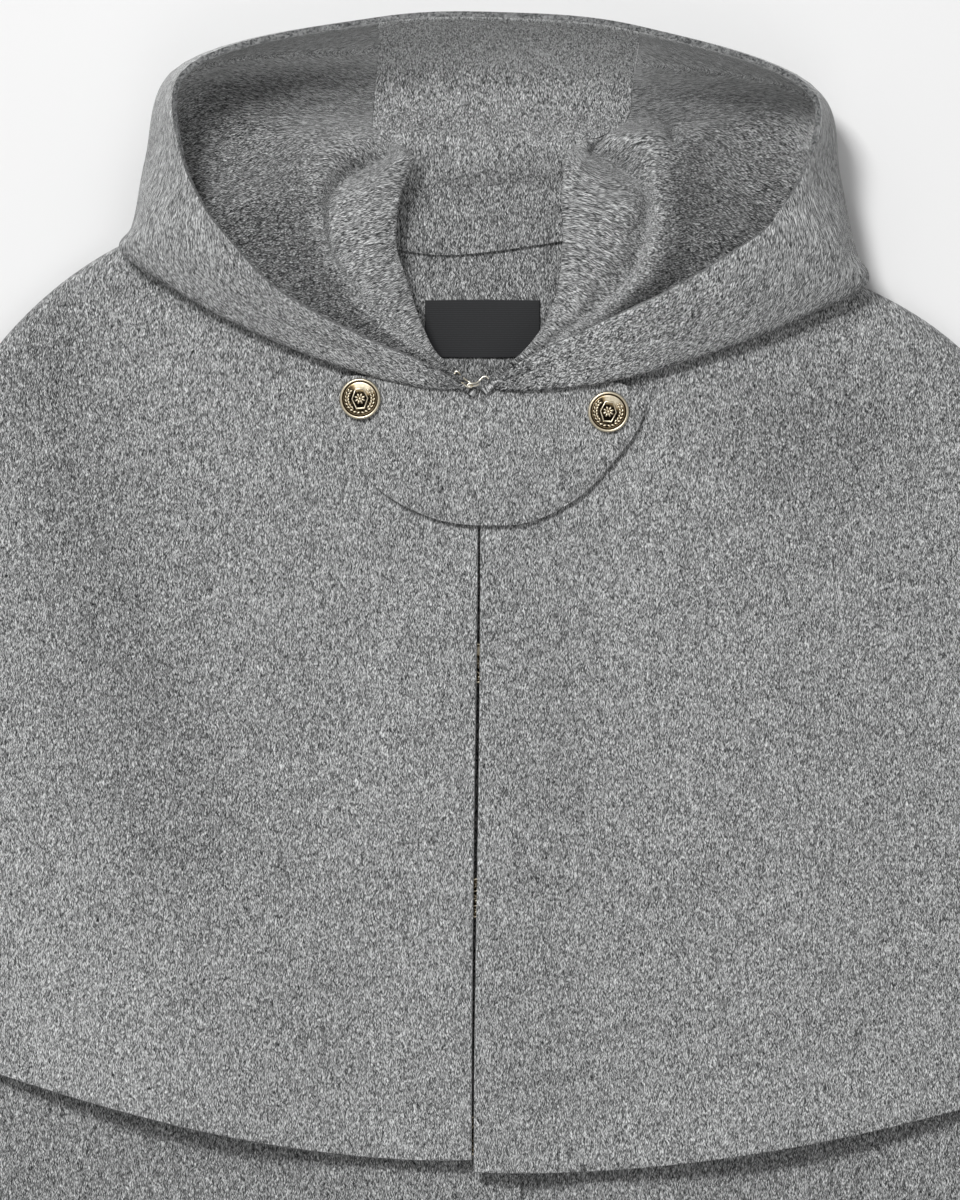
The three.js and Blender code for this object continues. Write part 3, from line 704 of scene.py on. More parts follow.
@dataclass
class ClothPiece:
    """One piece of cloth: a grid of points in the middle of it, its nap map and its thickness."""

    name: str
    grid: Array
    nap: Array
    wool: Wool
    thickness: float | Array = 2.5
    edge_mm: float = 0.8
    # Shade and light painted into the wool's colour, at each point.
    painted_shading: Array | None = None

    def build(self) -> bpy.types.Object:
        """Lays a flat grid over the points, thickens it and rounds its edges.

        Returns:
            The piece's object, with its modifiers live.
        """
        rows, columns = self.grid.shape[:2]
        bm = bmesh.new()
        bmesh.ops.create_grid(bm, x_segments=rows - 1, y_segments=columns - 1, size=0.5)
        places = [
            (round((v.co.x + 0.5) * (rows - 1)), round((v.co.y + 0.5) * (columns - 1))) for v in bm.verts
        ]
        where = np.array(places)
        points = (self.grid[where[:, 0], where[:, 1]] + SHIFT) * MM
        for v, p in zip(bm.verts, points):
            v.co = p
        obj = new_object(self.name, bm, self.wool.face)
        mesh = obj.data
        mesh.materials.append(self.wool.edge)
        loops = np.empty(len(mesh.loops), int)
        mesh.loops.foreach_get("vertex_index", loops)
        layer = mesh.uv_layers.new(name="nap")
        nap = self.nap[where[:, 0], where[:, 1]]
        layer.data.foreach_set("uv", nap[loops].astype(np.float32).ravel() * MM)
        solid = obj.modifiers.new("thickness", "SOLIDIFY")
        solid.offset = 0.0
        solid.material_offset_rim = 1
        # A per-point attribute carries the painted shade and light to the wool's colour.
        if self.painted_shading is not None:
            lean = mesh.attributes.new("painted_shading", "FLOAT", "POINT")
            lean.data.foreach_set("value", self.painted_shading[where[:, 0], where[:, 1]].astype(np.float32))
        if isinstance(self.thickness, np.ndarray):
            most = float(self.thickness.max())
            group = obj.vertex_groups.new(name="thickness")
            share = self.thickness[where[:, 0], where[:, 1]] / most
            for i, k in enumerate(share):
                group.add([i], float(k), "REPLACE")
            solid.vertex_group = "thickness"
            solid.thickness = most * MM
        else:
            solid.thickness = self.thickness * MM
        edge = obj.modifiers.new("rounded_edge", "BEVEL")
        edge.width = self.edge_mm * MM
        edge.segments = 3
        edge.limit_method = "ANGLE"
        edge.angle_limit = math.radians(50)
        return obj

    def declare(self) -> None:
        width = float(lengths_along(self.grid, 0)[-1].max() * MM)
        length = float(lengths_along(self.grid, 1)[:, -1].max() * MM)
        area = min(mid_area(self.grid), width * length)


def coons(left: Array, right: Array, top: Array, hem: Array) -> Array:
    """Fills a four-sided panel between its edges.

    Args:
        left: The edge at the start of the rows, from the top down.
        right: The edge at their end.
        top: The upper edge, along the rows.
        hem: The lower edge.

    Returns:
        A grid of plan points, first axis across, second down.
    """
    across = np.linspace(0, 1, len(top))[:, None, None]
    down = np.linspace(0, 1, len(left))[None, :, None]
    flat = (1 - across) * left[None] + across * right[None] + (1 - down) * top[:, None] + down * hem[:, None]
    corners = (1 - across) * ((1 - down) * left[0] + down * left[-1]) + across * (
        (1 - down) * right[0] + down * right[-1]
    )
    return flat - corners


def raised(plan: Array, height: Height) -> Array:
    """A grid of plan points at the height of a layer."""
    return np.concatenate([plan, height(plan[..., 0], plan[..., 1])[..., None]], axis=-1)


@dataclass
class Layer:
    """One layer of the garment, front and back, sewn together in folds down its sides.

    Its curl says how far the middle of the front's hem lifts, and its lean is the shade painted into its
    colour, light where above 0.
    """

    name: str
    radius: float
    inset: float
    front: Height
    back: Height
    hem_y: Callable[[Side], float]
    opening: Callable[[Side, Array], Array]
    opening_ends: Callable[[Side], tuple[float, float]]
    hem_handles: Callable[[Side], Sequence[Sequence[float]]]
    back_hem: Sequence[Sequence[float]]
    lift: Callable[[Side], Callable[[Array], Array]]
    wool: Wool
    curl: float = 0.0
    # Shade painted into the cloth's colour at each plan point.
    lean: Height = lambda x, y: 0 * x
    across: int = 80
    down: int = 110
    turns: int = 9

    def seam_height(self, fold: Callable[[float], Array]) -> Array:
        """Half-way between the front's and the back's face, down one side."""
        p = fold(self.radius)
        return (self.front(p[:, 0], p[:, 1]) + self.back(p[:, 0], p[:, 1])) / 2

    def fold_rows(self, fold: Callable[[float], Array], height: Height, seam: Array) -> Array:
        """The quarter turn between a face and the seam, from the face outwards.

        Args:
            fold: The side's fold in plan.
            height: The face's height.
            seam: The seam's height, down the side.

        Returns:
            A grid of points, first axis round the turn.
        """
        flat = fold(self.radius)
        face = height(flat[:, 0], flat[:, 1])
        rows = []
        for turn in np.linspace(0, math.pi / 2, self.turns + 1)[1:]:
            p = fold(self.radius * (1 - math.sin(turn)))
            rows.append(np.column_stack([p, seam + (face - seam) * math.cos(turn)]))
        return np.array(rows)

    def front_grid(self, side: Side) -> Array:
        """The front on one side, from its opening to its side seam."""
        k = np.linspace(0, 1, self.down)
        fold = PLAN.fold(side, self.hem_y(side), self.inset, k)
        top, bottom = self.opening_ends(side)
        opening = self.opening(side, top + (bottom - top) * k)
        edge = fold(self.radius)
        u = np.linspace(0, 1, self.across)
        neck = bezier((opening[0], *PLAN.sides[side].neck_handles, edge[0]), u)
        hem = bezier((opening[-1], *self.hem_handles(side), edge[-1]), u)
        lift = self.lift(side)
        flat = raised(coons(opening, edge, neck, hem), lambda x, y: self.front(x, y) + lift(x))
        middle = (0.35 + 0.65 * np.sin(math.pi * u)) * (1 - smooth(0.9, 1, u))
        flat[..., 2] += self.curl * middle[:, None] * smooth(0.9, 1, k)[None, :]
        turned = self.fold_rows(fold, self.front, self.seam_height(fold) + PLAN.seam / 2)
        return np.concatenate([flat, turned])

    def back_grid(self) -> Array:
        """The back, from the right side seam to the left one."""
        k = np.linspace(0, 1, self.down)
        folds = [PLAN.fold(side, self.hem_y(side), self.inset, k) for side in (Side.RIGHT, Side.LEFT)]
        right, left = (fold(self.radius) for fold in folds)
        u = np.linspace(0, 1, self.across)
        neck = bezier((right[0], *PLAN.back_neck_handles, left[0]), u)
        hem = bezier((right[-1], *self.back_hem, left[-1]), u)
        flat = raised(coons(right, left, neck, hem), self.back)
        turned = [self.fold_rows(f, self.back, self.seam_height(f) - PLAN.seam / 2) for f in folds]
        return np.concatenate([turned[0][::-1], flat, turned[1]])

    def nap(self, grid: Array, seed: float) -> Array:
        """The nap map: the plan itself, carried on round the side folds.

        Args:
            grid: The piece's points.
            seed: Slides the pattern.

        Returns:
            The map, in millimetres.
        """
        run = lengths_along(grid, 0)
        first = 0 if abs(grid[0, 0, 0]) < 60 else self.turns
        last = len(grid) - 1 - self.turns
        at = np.clip(np.arange(len(grid)), first, last)
        across = grid[at, :, 0] + np.sign(grid[last, 0, 0] - grid[first, 0, 0]) * (run - run[at])
        return np.stack([across + seed * 731, grid[..., 1] + seed * 517], axis=-1)

    def build(self) -> list[bpy.types.Object]:
        """Builds both fronts and the back.

        Returns:
            The three pieces.
        """
        pieces = []
        parts = [(f"{self.name}_front_{s.word}", self.front_grid(s), s.value + 1.5) for s in Side]
        parts.append((f"{self.name}_back", self.back_grid(), 4.0))
        for node, grid, seed in parts:
            cloth = ClothPiece(node + "_cloth", grid, self.nap(grid, seed), self.wool,
                               painted_shading=self.lean(grid[..., 0], grid[..., 1]))
            obj = enrol(cloth.build(), node)
            cloth.declare()
            pieces.append(obj)
        return pieces


def capelet(wool: Wool) -> Layer:
    """The shoulder capelet, which meets edge to edge in front and gapes a little at chest height."""

    def opening(side: Side, y: Array) -> Array:
        """A front's edge at each Y."""
        centre = 0.6 - 3.2 * smooth(-60, PLAN.capelet_hem, y)
        half = 0.45 + 0.4 * bell(y, -210, 90)
        return np.column_stack([centre + side.value * half, y])

    hem = PLAN.capelet_hem - 36
    return Layer(
        "capelet", 7.5, PLAN.cloth / 2, PLAN.capelet_front, PLAN.capelet_back,
        hem_y=lambda side: PLAN.sides[side].capelet_hem,
        opening=opening,
        opening_ends=lambda side: (-2.0, PLAN.sides[side].hem_centre[1]),
        hem_handles=lambda side: PLAN.sides[side].hem_handles,
        back_hem=((-150, hem), (150, hem)),
        lift=lambda side: lambda x: 0 * x,
        wool=wool,
        curl=5.8,
        # Stripes of painted shade on the capelet.
        lean=lambda x, y: sum(crease.at(x, y) for crease in PLAN.capelet_painted_shade),
    )


def coat(wool: Wool) -> Layer:
    """The long coat, whose wearer's right front laps over the left one."""
    hem = PLAN.coat_hem
    return Layer(
        "coat", 4.5, PLAN.cloth / 2 + PLAN.nest, PLAN.coat_front, PLAN.coat_back,
        hem_y=lambda side: hem + 55,
        opening=lambda side, y: np.column_stack([0 * y - side.value * PLAN.overlap, y]),
        opening_ends=lambda side: (-6.0, hem + (2 if side is Side.LEFT else 0)),
        hem_handles=lambda side: ((side.value * 150, hem - 2), (side.value * 285, hem + 26)),
        back_hem=((-170, hem - 14), (170, hem - 14)),
        lift=lambda side: PLAN.lap_lift if side is Side.RIGHT else lambda x: 0 * x,
        wool=wool,
        # Painted shade: the coat's colour is darker all over, and more from the neck up.
        lean=lambda x, y: -0.2 - 0.15 * smooth(-20, 10, y),
        down=150,
    )


@dataclass
class Hood:
    """The hood, turned down and spread open: a middle panel and two sides.

    Each row of the table is a section of the cloth from the neck seam outwards: over the roll beside the
    neck, down to the floor of the bowl, round the fold and up to the rim. The painted values darken the
    wool's colour as painted shade where they are below 0, and lighten it as painted light above 0.
    """

    wool: Wool
    seam_mm: float = 0.12
    panels: tuple[float, float] = (9.0, 11.0)
    steps_across: int = 10
    steps_down: int = 15
    creases: tuple[Crease, ...] = (
        Crease((97.7, 139), (97.7, 122), 3.0, -9.0),
        Crease((106.5, 133), (104, 124), 2.6, -2.5),
        Crease((131.5, 98.5), (148.5, 84.5), 5.0, -3.0),
        Crease((58.5, 46), (57.5, 40), 5.0, -2.0),
        Crease((-100, 118), (-124, 122), 9.0, -2.0),
        Crease((-104, 74), (-126, 92), 7.0, 2.0),
        Crease((-58, 84), (-54, 60), 5.0, 1.2),
        Crease((62, 90), (60, 62), 5.0, 1.2),
    )
    sections: tuple[tuple[tuple[float, float, float], ...], ...] = ()
    # Shade and light painted into the hood's colour, by place: shade below 0, light above 0.
    bowl_painted_shade: float = -0.46
    bowl_end_painted_shade: float = -0.55
    wall_painted_light: float = 1.25
    centre_wall_painted_light: float = 1.05
    centre_floor_painted_shade: float = -0.1
    band_painted_light: float = 0.1
    lit_band_painted_light: float = 0.25
    roll_painted_shade: float = -0.1
    end_painted_shade: float = -0.8

    def surface(self, rows: Array, columns: Array, shift: Array) -> Array:
        """The hood's cloth at given places.

        Args:
            rows: Places across the sections.
            columns: Places down each section.
            shift: How far each row is moved along the hood, in millimetres.

        Returns:
            A grid of points, first axis across the sections.
        """
        table = np.array(self.sections, float)
        profile = np.swapaxes(spline(np.swapaxes(table, 0, 1), columns), 0, 1)
        grid = spline(profile, rows)
        ahead = spline(profile, np.minimum(rows + 0.01, len(table) - 1))
        behind = spline(profile, np.maximum(rows - 0.01, 0))
        along = ahead - behind
        along /= np.linalg.norm(along, axis=-1, keepdims=True)
        grid = grid + along * shift[:, None, None]
        x, y, z = np.moveaxis(grid, -1, 0)
        z = z + sum(crease.at(x, y) for crease in self.creases)
        # On the neck, at the throat and along its floor and foot, the hood lies on what is under it.
        support = PLAN.hood_support(x, y)
        place, column = np.meshgrid(rows, columns, indexing="ij")
        on_neck = (column <= 1) & (y < PLAN.shoulder_top(x) - 4)
        at_throat = (place < 1.2) | (place > len(table) - 2.2)
        high = np.maximum(z, support + self.thickness(column) / 2 + PLAN.air)
        z = np.where(on_neck | at_throat, high, z)
        lies = (column >= 4.4) & (column <= 7.4)
        z = np.where(lies, np.maximum(z, support + PLAN.cloth / 2 + PLAN.air), z)
        return np.stack([x, y, z], axis=-1)

    def thickness(self, column: Array) -> Array:
        """The cloth's thickness down a section: its edge is turned and thicker, with a round end."""
        full = PLAN.cloth + (PLAN.rim_cloth - PLAN.cloth) * smooth(7.9, 8.7, column)
        return full - 1.5 * smooth(8.86, 9.06, column)

    def painted_shading(self, rows: Array, columns: Array, straight: bool) -> Array:
        """The shade and light painted into a panel's colour.

        Args:
            rows: Places across the sections.
            columns: Places down each section.
            straight: Whether it is the middle panel.

        Returns:
            The value: painted shade in the bowl, on the roll and at the ends, painted light on the wall and
                band.
        """
        place, column = np.meshgrid(rows, columns, indexing="ij")
        if straight:
            # Middle panel: painted light on its wall, a little painted shade on its floor.
            wall = self.centre_wall_painted_light * smooth(5.7, 6.7, column)
            return wall + self.centre_floor_painted_shade * smooth(3, 5, column)
        # Side panels: painted shade in the bowl, on the roll and at the ends; painted light on the wall and
        # band.
        row = np.minimum(place, len(self.sections) - 1 - place)
        turned = smooth(6.9, 7.4, column) * (1 - smooth(6.8, 8.0, row))
        bowl = smooth(3.7, 4.5, column) * (1 - turned)
        wall = smooth(6.4, 8.0, row) * smooth(5.7, 6.7, column)
        roll = smooth(0.4, 1.2, column) * (1 - smooth(3.0, 3.8, column))
        lit = 1 - smooth(9, 12, place)
        deep = self.wall_painted_light * wall + self.bowl_painted_shade + self.bowl_end_painted_shade * (1 - smooth(5.5, 7.5, row))
        band = (self.lit_band_painted_light * lit + self.band_painted_light) * smooth(2.5, 5.5, row)
        end = self.end_painted_shade * (1 - smooth(0.4, 1.5, row))
        return deep * bowl + band * turned + self.roll_painted_shade * roll + end

    def panel(self, name: str, start: float, end: float, straight: bool, seed: float) -> bpy.types.Object:
        """One panel between two sections.

        Args:
            name: The solid that it stands for.
            start: Its first section.
            end: Its last one.
            straight: Whether its nap runs down the sections, as in the middle panel. The nap of a side
                panel turns with the cloth's cut: across the neck seam, and along the rim.
            seed: Slides the pattern.

        Returns:
            The panel.
        """
        rows = np.linspace(start, end, int((end - start) * self.steps_across) + 1)
        columns = np.linspace(0, 9, 9 * self.steps_down + 1)
        last = len(self.sections) - 1
        shift = np.zeros(len(rows))
        shift[0] = self.seam_mm / 2 if start > 0 else 0
        shift[-1] = -self.seam_mm / 2 if end < last else 0
        grid = self.surface(rows, columns, shift)
        if straight:
            nap = np.stack([grid[..., 0], lengths_along(grid, 1)], axis=-1)
        else:
            ordered = grid if start == 0 else grid[::-1]
            reach = lengths_along(ordered, 0) + 6
            down = lengths_along(ordered, 1)
            share = (down / np.maximum(down[:, -1:], 1))[len(rows) // 2 :].mean(axis=0)
            turn = 0.12 + 1.45 * share[None, :] / (1 + (reach / 170) ** 4) ** 0.25
            nap = np.stack([reach * np.cos(turn), reach * np.sin(turn)], axis=-1)
            nap = nap if start == 0 else nap[::-1]
        thick = np.broadcast_to(self.thickness(columns), grid.shape[:2]).copy()
        # The shade and light painted into this panel's colour.
        painted_shading = self.painted_shading(rows, columns, straight)
        nap = nap * (1.0 if straight else 1.08) + seed * 611
        cloth = ClothPiece(name + "_cloth", grid, nap, self.wool, thick, 0.3, painted_shading)
        obj = enrol(cloth.build(), name)
        cloth.declare()
        return obj

    def spare_cloth(self) -> bpy.types.Object:
        """The rest of the hood, folded flat under the back: a rounded pouch with two layers at its edge.

        Returns:
            The pouch.
        """
        (cx, cy), (rx, ry) = PLAN.bag_centre, PLAN.bag_reach
        rx, ry, up = rx * 0.93, ry * 0.93, 46.0
        rim = [(0.955, 0), (0.985, 0.7), (1, 1.4), (0.985, 2.2), (0.968, 2.8), (0.985, 3.4), (1, 4.2),
               (0.985, 4.9), (0.955, 5.6)]
        inner = [(s, 0.0) for s in np.linspace(0.08, 0.9, 12)]
        profile = inner + rim + [(s, 5.6) for s, _ in inner[::-1]]
        bm = bmesh.new()
        path = [bm.verts.new((s, 0, z * MM)) for s, z in profile]
        edges = [bm.edges.new(pair) for pair in zip(path[:-1], path[1:])]
        bmesh.ops.spin(bm, geom=path + edges, axis=(0, 0, 1), cent=(0, 0, 0), angle=2 * math.pi, steps=96,
                       use_merge=True)
        ends = [e for e in bm.edges if e.is_boundary]
        bmesh.ops.edgeloop_fill(bm, edges=ends)
        for v in bm.verts:
            v.co.x = (cx + v.co.x * rx + SHIFT[0]) * MM
            v.co.y = (cy + v.co.y * (up if v.co.y > 0 else ry) + SHIFT[1]) * MM
        bmesh.ops.recalc_face_normals(bm, faces=bm.faces)
        uv = bm.loops.layers.uv.new("nap")
        for face in bm.faces:
            for loop in face.loops:
                loop[uv].uv = (loop.vert.co.x, loop.vert.co.y - loop.vert.co.z)
        obj = enrol(new_object("hood_bag_cloth", bm, self.wool.face), "hood_bag")
        return obj

    def build(self) -> list[bpy.types.Object]:
        """Builds the three panels and the spare cloth."""
        first, second = self.panels
        return [
            self.panel("hood_side_right", 0.0, first, False, 1.0),
            self.panel("hood_centre", first, second, True, 2.0),
            self.panel("hood_side_left", second, float(len(self.sections) - 1), False, 3.0),
            self.spare_cloth(),
        ]


# From the wearer's right end of the hood at the throat, round the back of the neck, to the left end.
# Columns: neck seam, inner edge, crest, valley, second crest, floor, foot, fold, band, rim.
HOOD_SECTIONS = (
    ((-2.2, 2.6, 29.2), (-2.1, 1.8, 29.2), (-2, 1, 29.2), (-1.9, 0.2, 29.2), (-1.8, -0.6, 29.2),
      (-1.7, -1.4, 29.2), (-1.6, -2.2, 29.2), (-1.5, -3, 29.3), (-1.4, -3.9, 29.5), (-1.3, -4.9, 29.9)),
    ((-20, 8, 29.2), (-19.4, 12.2, 31), (-21.3, 14.2, 33.2), (-23.6, 13.6, 32), (-25.3, 12.6, 32.2),
      (-27.5, 8.5, 29.8), (-27.5, 3, 29), (-26, -0.8, 31.2), (-24.5, 3.8, 33.6), (-22, 8.4, 34.8)),
    ((-34, 20, 26.6), (-29, 29.4, 30.6), (-35.5, 34, 33.8), (-46, 34, 31), (-52.5, 34, 32.2),
      (-62, 26, 26.5), (-66, 16, 25.5), (-66, 9.2, 29.5), (-65, 17, 33.8), (-61, 25.7, 38)),
    ((-52, 38, 24.5), (-36.5, 51.5, 31), (-42, 54, 34.2), (-62.5, 51, 29), (-69.5, 55, 33),
      (-87, 49, 24.5), (-108, 37, 22.8), (-118, 30.2, 30), (-113, 39, 37), (-102, 49.2, 43)),
    ((-62, 57, 23.4), (-41.5, 67, 31.5), (-47.5, 69, 34.8), (-72, 68, 28), (-79, 72, 33),
      (-100, 68, 23.5), (-135, 55, 22.6), (-153, 49.8, 30), (-144, 59, 40), (-121.5, 69.5, 47)),
    ((-65, 68, 23.5), (-41.8, 77, 31.5), (-48, 80, 35), (-74, 79.5, 27.5), (-80.5, 82, 33),
      (-103, 80, 22), (-144, 73, 22.6), (-178, 68.6, 30), (-158, 74, 42), (-129, 78.5, 49)),
    ((-66, 75, 23.5), (-41.3, 85, 31.5), (-49, 90, 35.4), (-73.5, 93.5, 24), (-80.5, 94, 32.3),
      (-105, 90, 17), (-148, 85, 20), (-172, 78, 27.8), (-162, 81, 42), (-134.5, 85.5, 50)),
    ((-64, 86, 23.2), (-39.3, 96, 31.5), (-47, 100, 35.8), (-62.5, 104.5, 18), (-78.5, 108, 31.6),
      (-106, 109, 9), (-145, 118, 8), (-164.5, 112, 20), (-160, 114, 42), (-147, 114, 52)),
    ((-56, 93, 21.5), (-32.5, 112.5, 30.5), (-38, 112.5, 34.5), (-46, 114.5, 19), (-70, 118.5, 28),
      (-102, 127, 5), (-136, 147, 4), (-150.5, 154, 18), (-151.5, 155, 40), (-147, 153.5, 53)),
    ((-38, 98.3, 15), (-34.8, 107.5, 19), (-37, 117.5, 23.5), (-45, 122, 20.5), (-51.5, 127, 17),
      (-52.5, 137, 5), (-51, 155, 4), (-50, 168, 18), (-50, 177, 38), (-50, 181, 51)),
    ((2, 99.8, 14), (2, 107, 18.5), (3, 116, 21.5), (4.5, 121.5, 19.5), (6.5, 128, 14),
      (9, 140, 4.5), (12, 155, 4), (14, 168, 18), (15, 179, 38), (15, 183.5, 50)),
    ((43, 102.8, 15), (43, 111, 19.5), (49, 119.5, 23.5), (60, 123.5, 20.5), (69.5, 127, 17),
      (75.5, 134, 5), (77.5, 150, 4), (79, 162, 18), (80.5, 172.5, 38), (80.5, 176.5, 51)),
    ((63, 93, 21.5), (45, 116, 28.5), (52, 114, 34.4), (57, 117.5, 19), (84, 123.5, 28),
      (120, 127, 5), (152, 137, 4), (169, 142.5, 18), (170, 144, 40), (167, 143, 53)),
    ((70, 84, 23.2), (43, 97, 29), (65.5, 102, 35.2), (71, 107.5, 18), (91, 111, 31.6),
      (120, 105, 10), (158, 108, 8), (179, 104, 20), (175, 105, 42), (162, 106.5, 52)),
    ((71, 70, 23.5), (43.6, 83, 29), (76, 90.5, 35.2), (84, 94, 25), (91.5, 94.5, 32.3),
      (118, 82, 19), (160, 70, 20), (188.2, 65, 27.8), (178, 67, 42), (150.5, 87, 50)),
    ((69, 62, 23.5), (43.5, 70, 29), (69, 73, 35), (82.5, 71.5, 27.5), (89.5, 74, 33),
      (116, 71, 22.5), (156, 59, 22.6), (194, 52.6, 30), (172, 61, 42), (144.5, 78.5, 49)),
    ((63, 47, 23.8), (42.5, 57, 29.3), (64, 59.5, 34.8), (77.5, 57.5, 28.5), (84.5, 58, 33),
      (107, 56, 23.6), (139, 42, 22.6), (163, 34.8, 30), (151, 46, 39.5), (126, 65.5, 46.5)),
    ((50, 31, 25), (39.3, 42, 29.6), (51, 43.5, 34.5), (64, 41.5, 30.6), (70.5, 41, 32.4),
      (85, 36, 24.8), (105, 24, 23), (118, 17.2, 30), (111, 29, 36.5), (95, 47, 42.5)),
    ((34, 18, 26.6), (32.6, 27.4, 30.2), (38.5, 29.5, 33.6), (45, 28, 31), (50, 26.5, 32),
      (57.5, 20, 26.6), (64, 10, 25.5), (66, 2.6, 30.5), (64, 14, 33.8), (57, 29, 38)),
    ((20, 8, 29.2), (19.6, 12, 31), (21.8, 13.6, 33.2), (24.2, 12.6, 32), (26.2, 11, 32.2),
      (28, 7, 29.8), (27.5, 1.5, 29), (26.3, -2.1, 32), (25, 4.5, 33.8), (22.3, 12, 34.8)),
    ((3.2, 2.6, 29.2), (3.1, 1.9, 29.2), (3, 1.2, 29.2), (2.9, 0.5, 29.2), (2.8, -0.2, 29.2),
      (2.7, -0.9, 29.2), (2.6, -1.6, 29.2), (2.5, -2.3, 29.3), (2.3, -3.1, 29.5), (2.1, -4, 29.9)),
)


@dataclass
class FlatTrim:
    """A small flat piece between two plan curves that run side by side."""

    name: str
    top: tuple[tuple[float, float], ...]
    bottom: tuple[tuple[float, float], ...]
    height: Height
    thickness: float
    finish: Wool
    across: int = 80
    down: int = 40
    edge_mm: float = 0.9
    puff: float = 0.0
    # Shade painted evenly into the piece's colour, below 0.
    lean: float = 0.0

    def grid(self) -> Array:
        """The piece's middle, first axis along the curves."""
        edges = []
        for points in (self.top, self.bottom):
            flat = np.array([(x, y, 0) for x, y in points], float)
            edges.append(spline(flat, np.linspace(0, len(points) - 1, self.across))[..., :2])
        share = np.linspace(0, 1, self.down)[None, :, None]
        grid = raised(edges[0][:, None] * (1 - share) + edges[1][:, None] * share, self.height)
        run = lengths_along(grid, 1)
        grid[..., 2] += self.puff * smooth(0.5, 9, run[:, -1:] - run)
        return grid

    def build(self, rests_on: Sequence[str], seed: float) -> bpy.types.Object:
        """Args:
            rests_on: What it lies on. It is not used.
            seed: Slides the pattern.

        Returns:
            The piece.
        """
        grid = self.grid()
        nap = grid[..., :2] + seed * 433
        painted_shading = np.full(grid.shape[:2], self.lean)
        cloth = ClothPiece(self.name + "_cloth", grid, nap, self.finish, self.thickness, self.edge_mm, painted_shading)
        obj = enrol(cloth.build(), self.name)
        cloth.declare()
        return obj


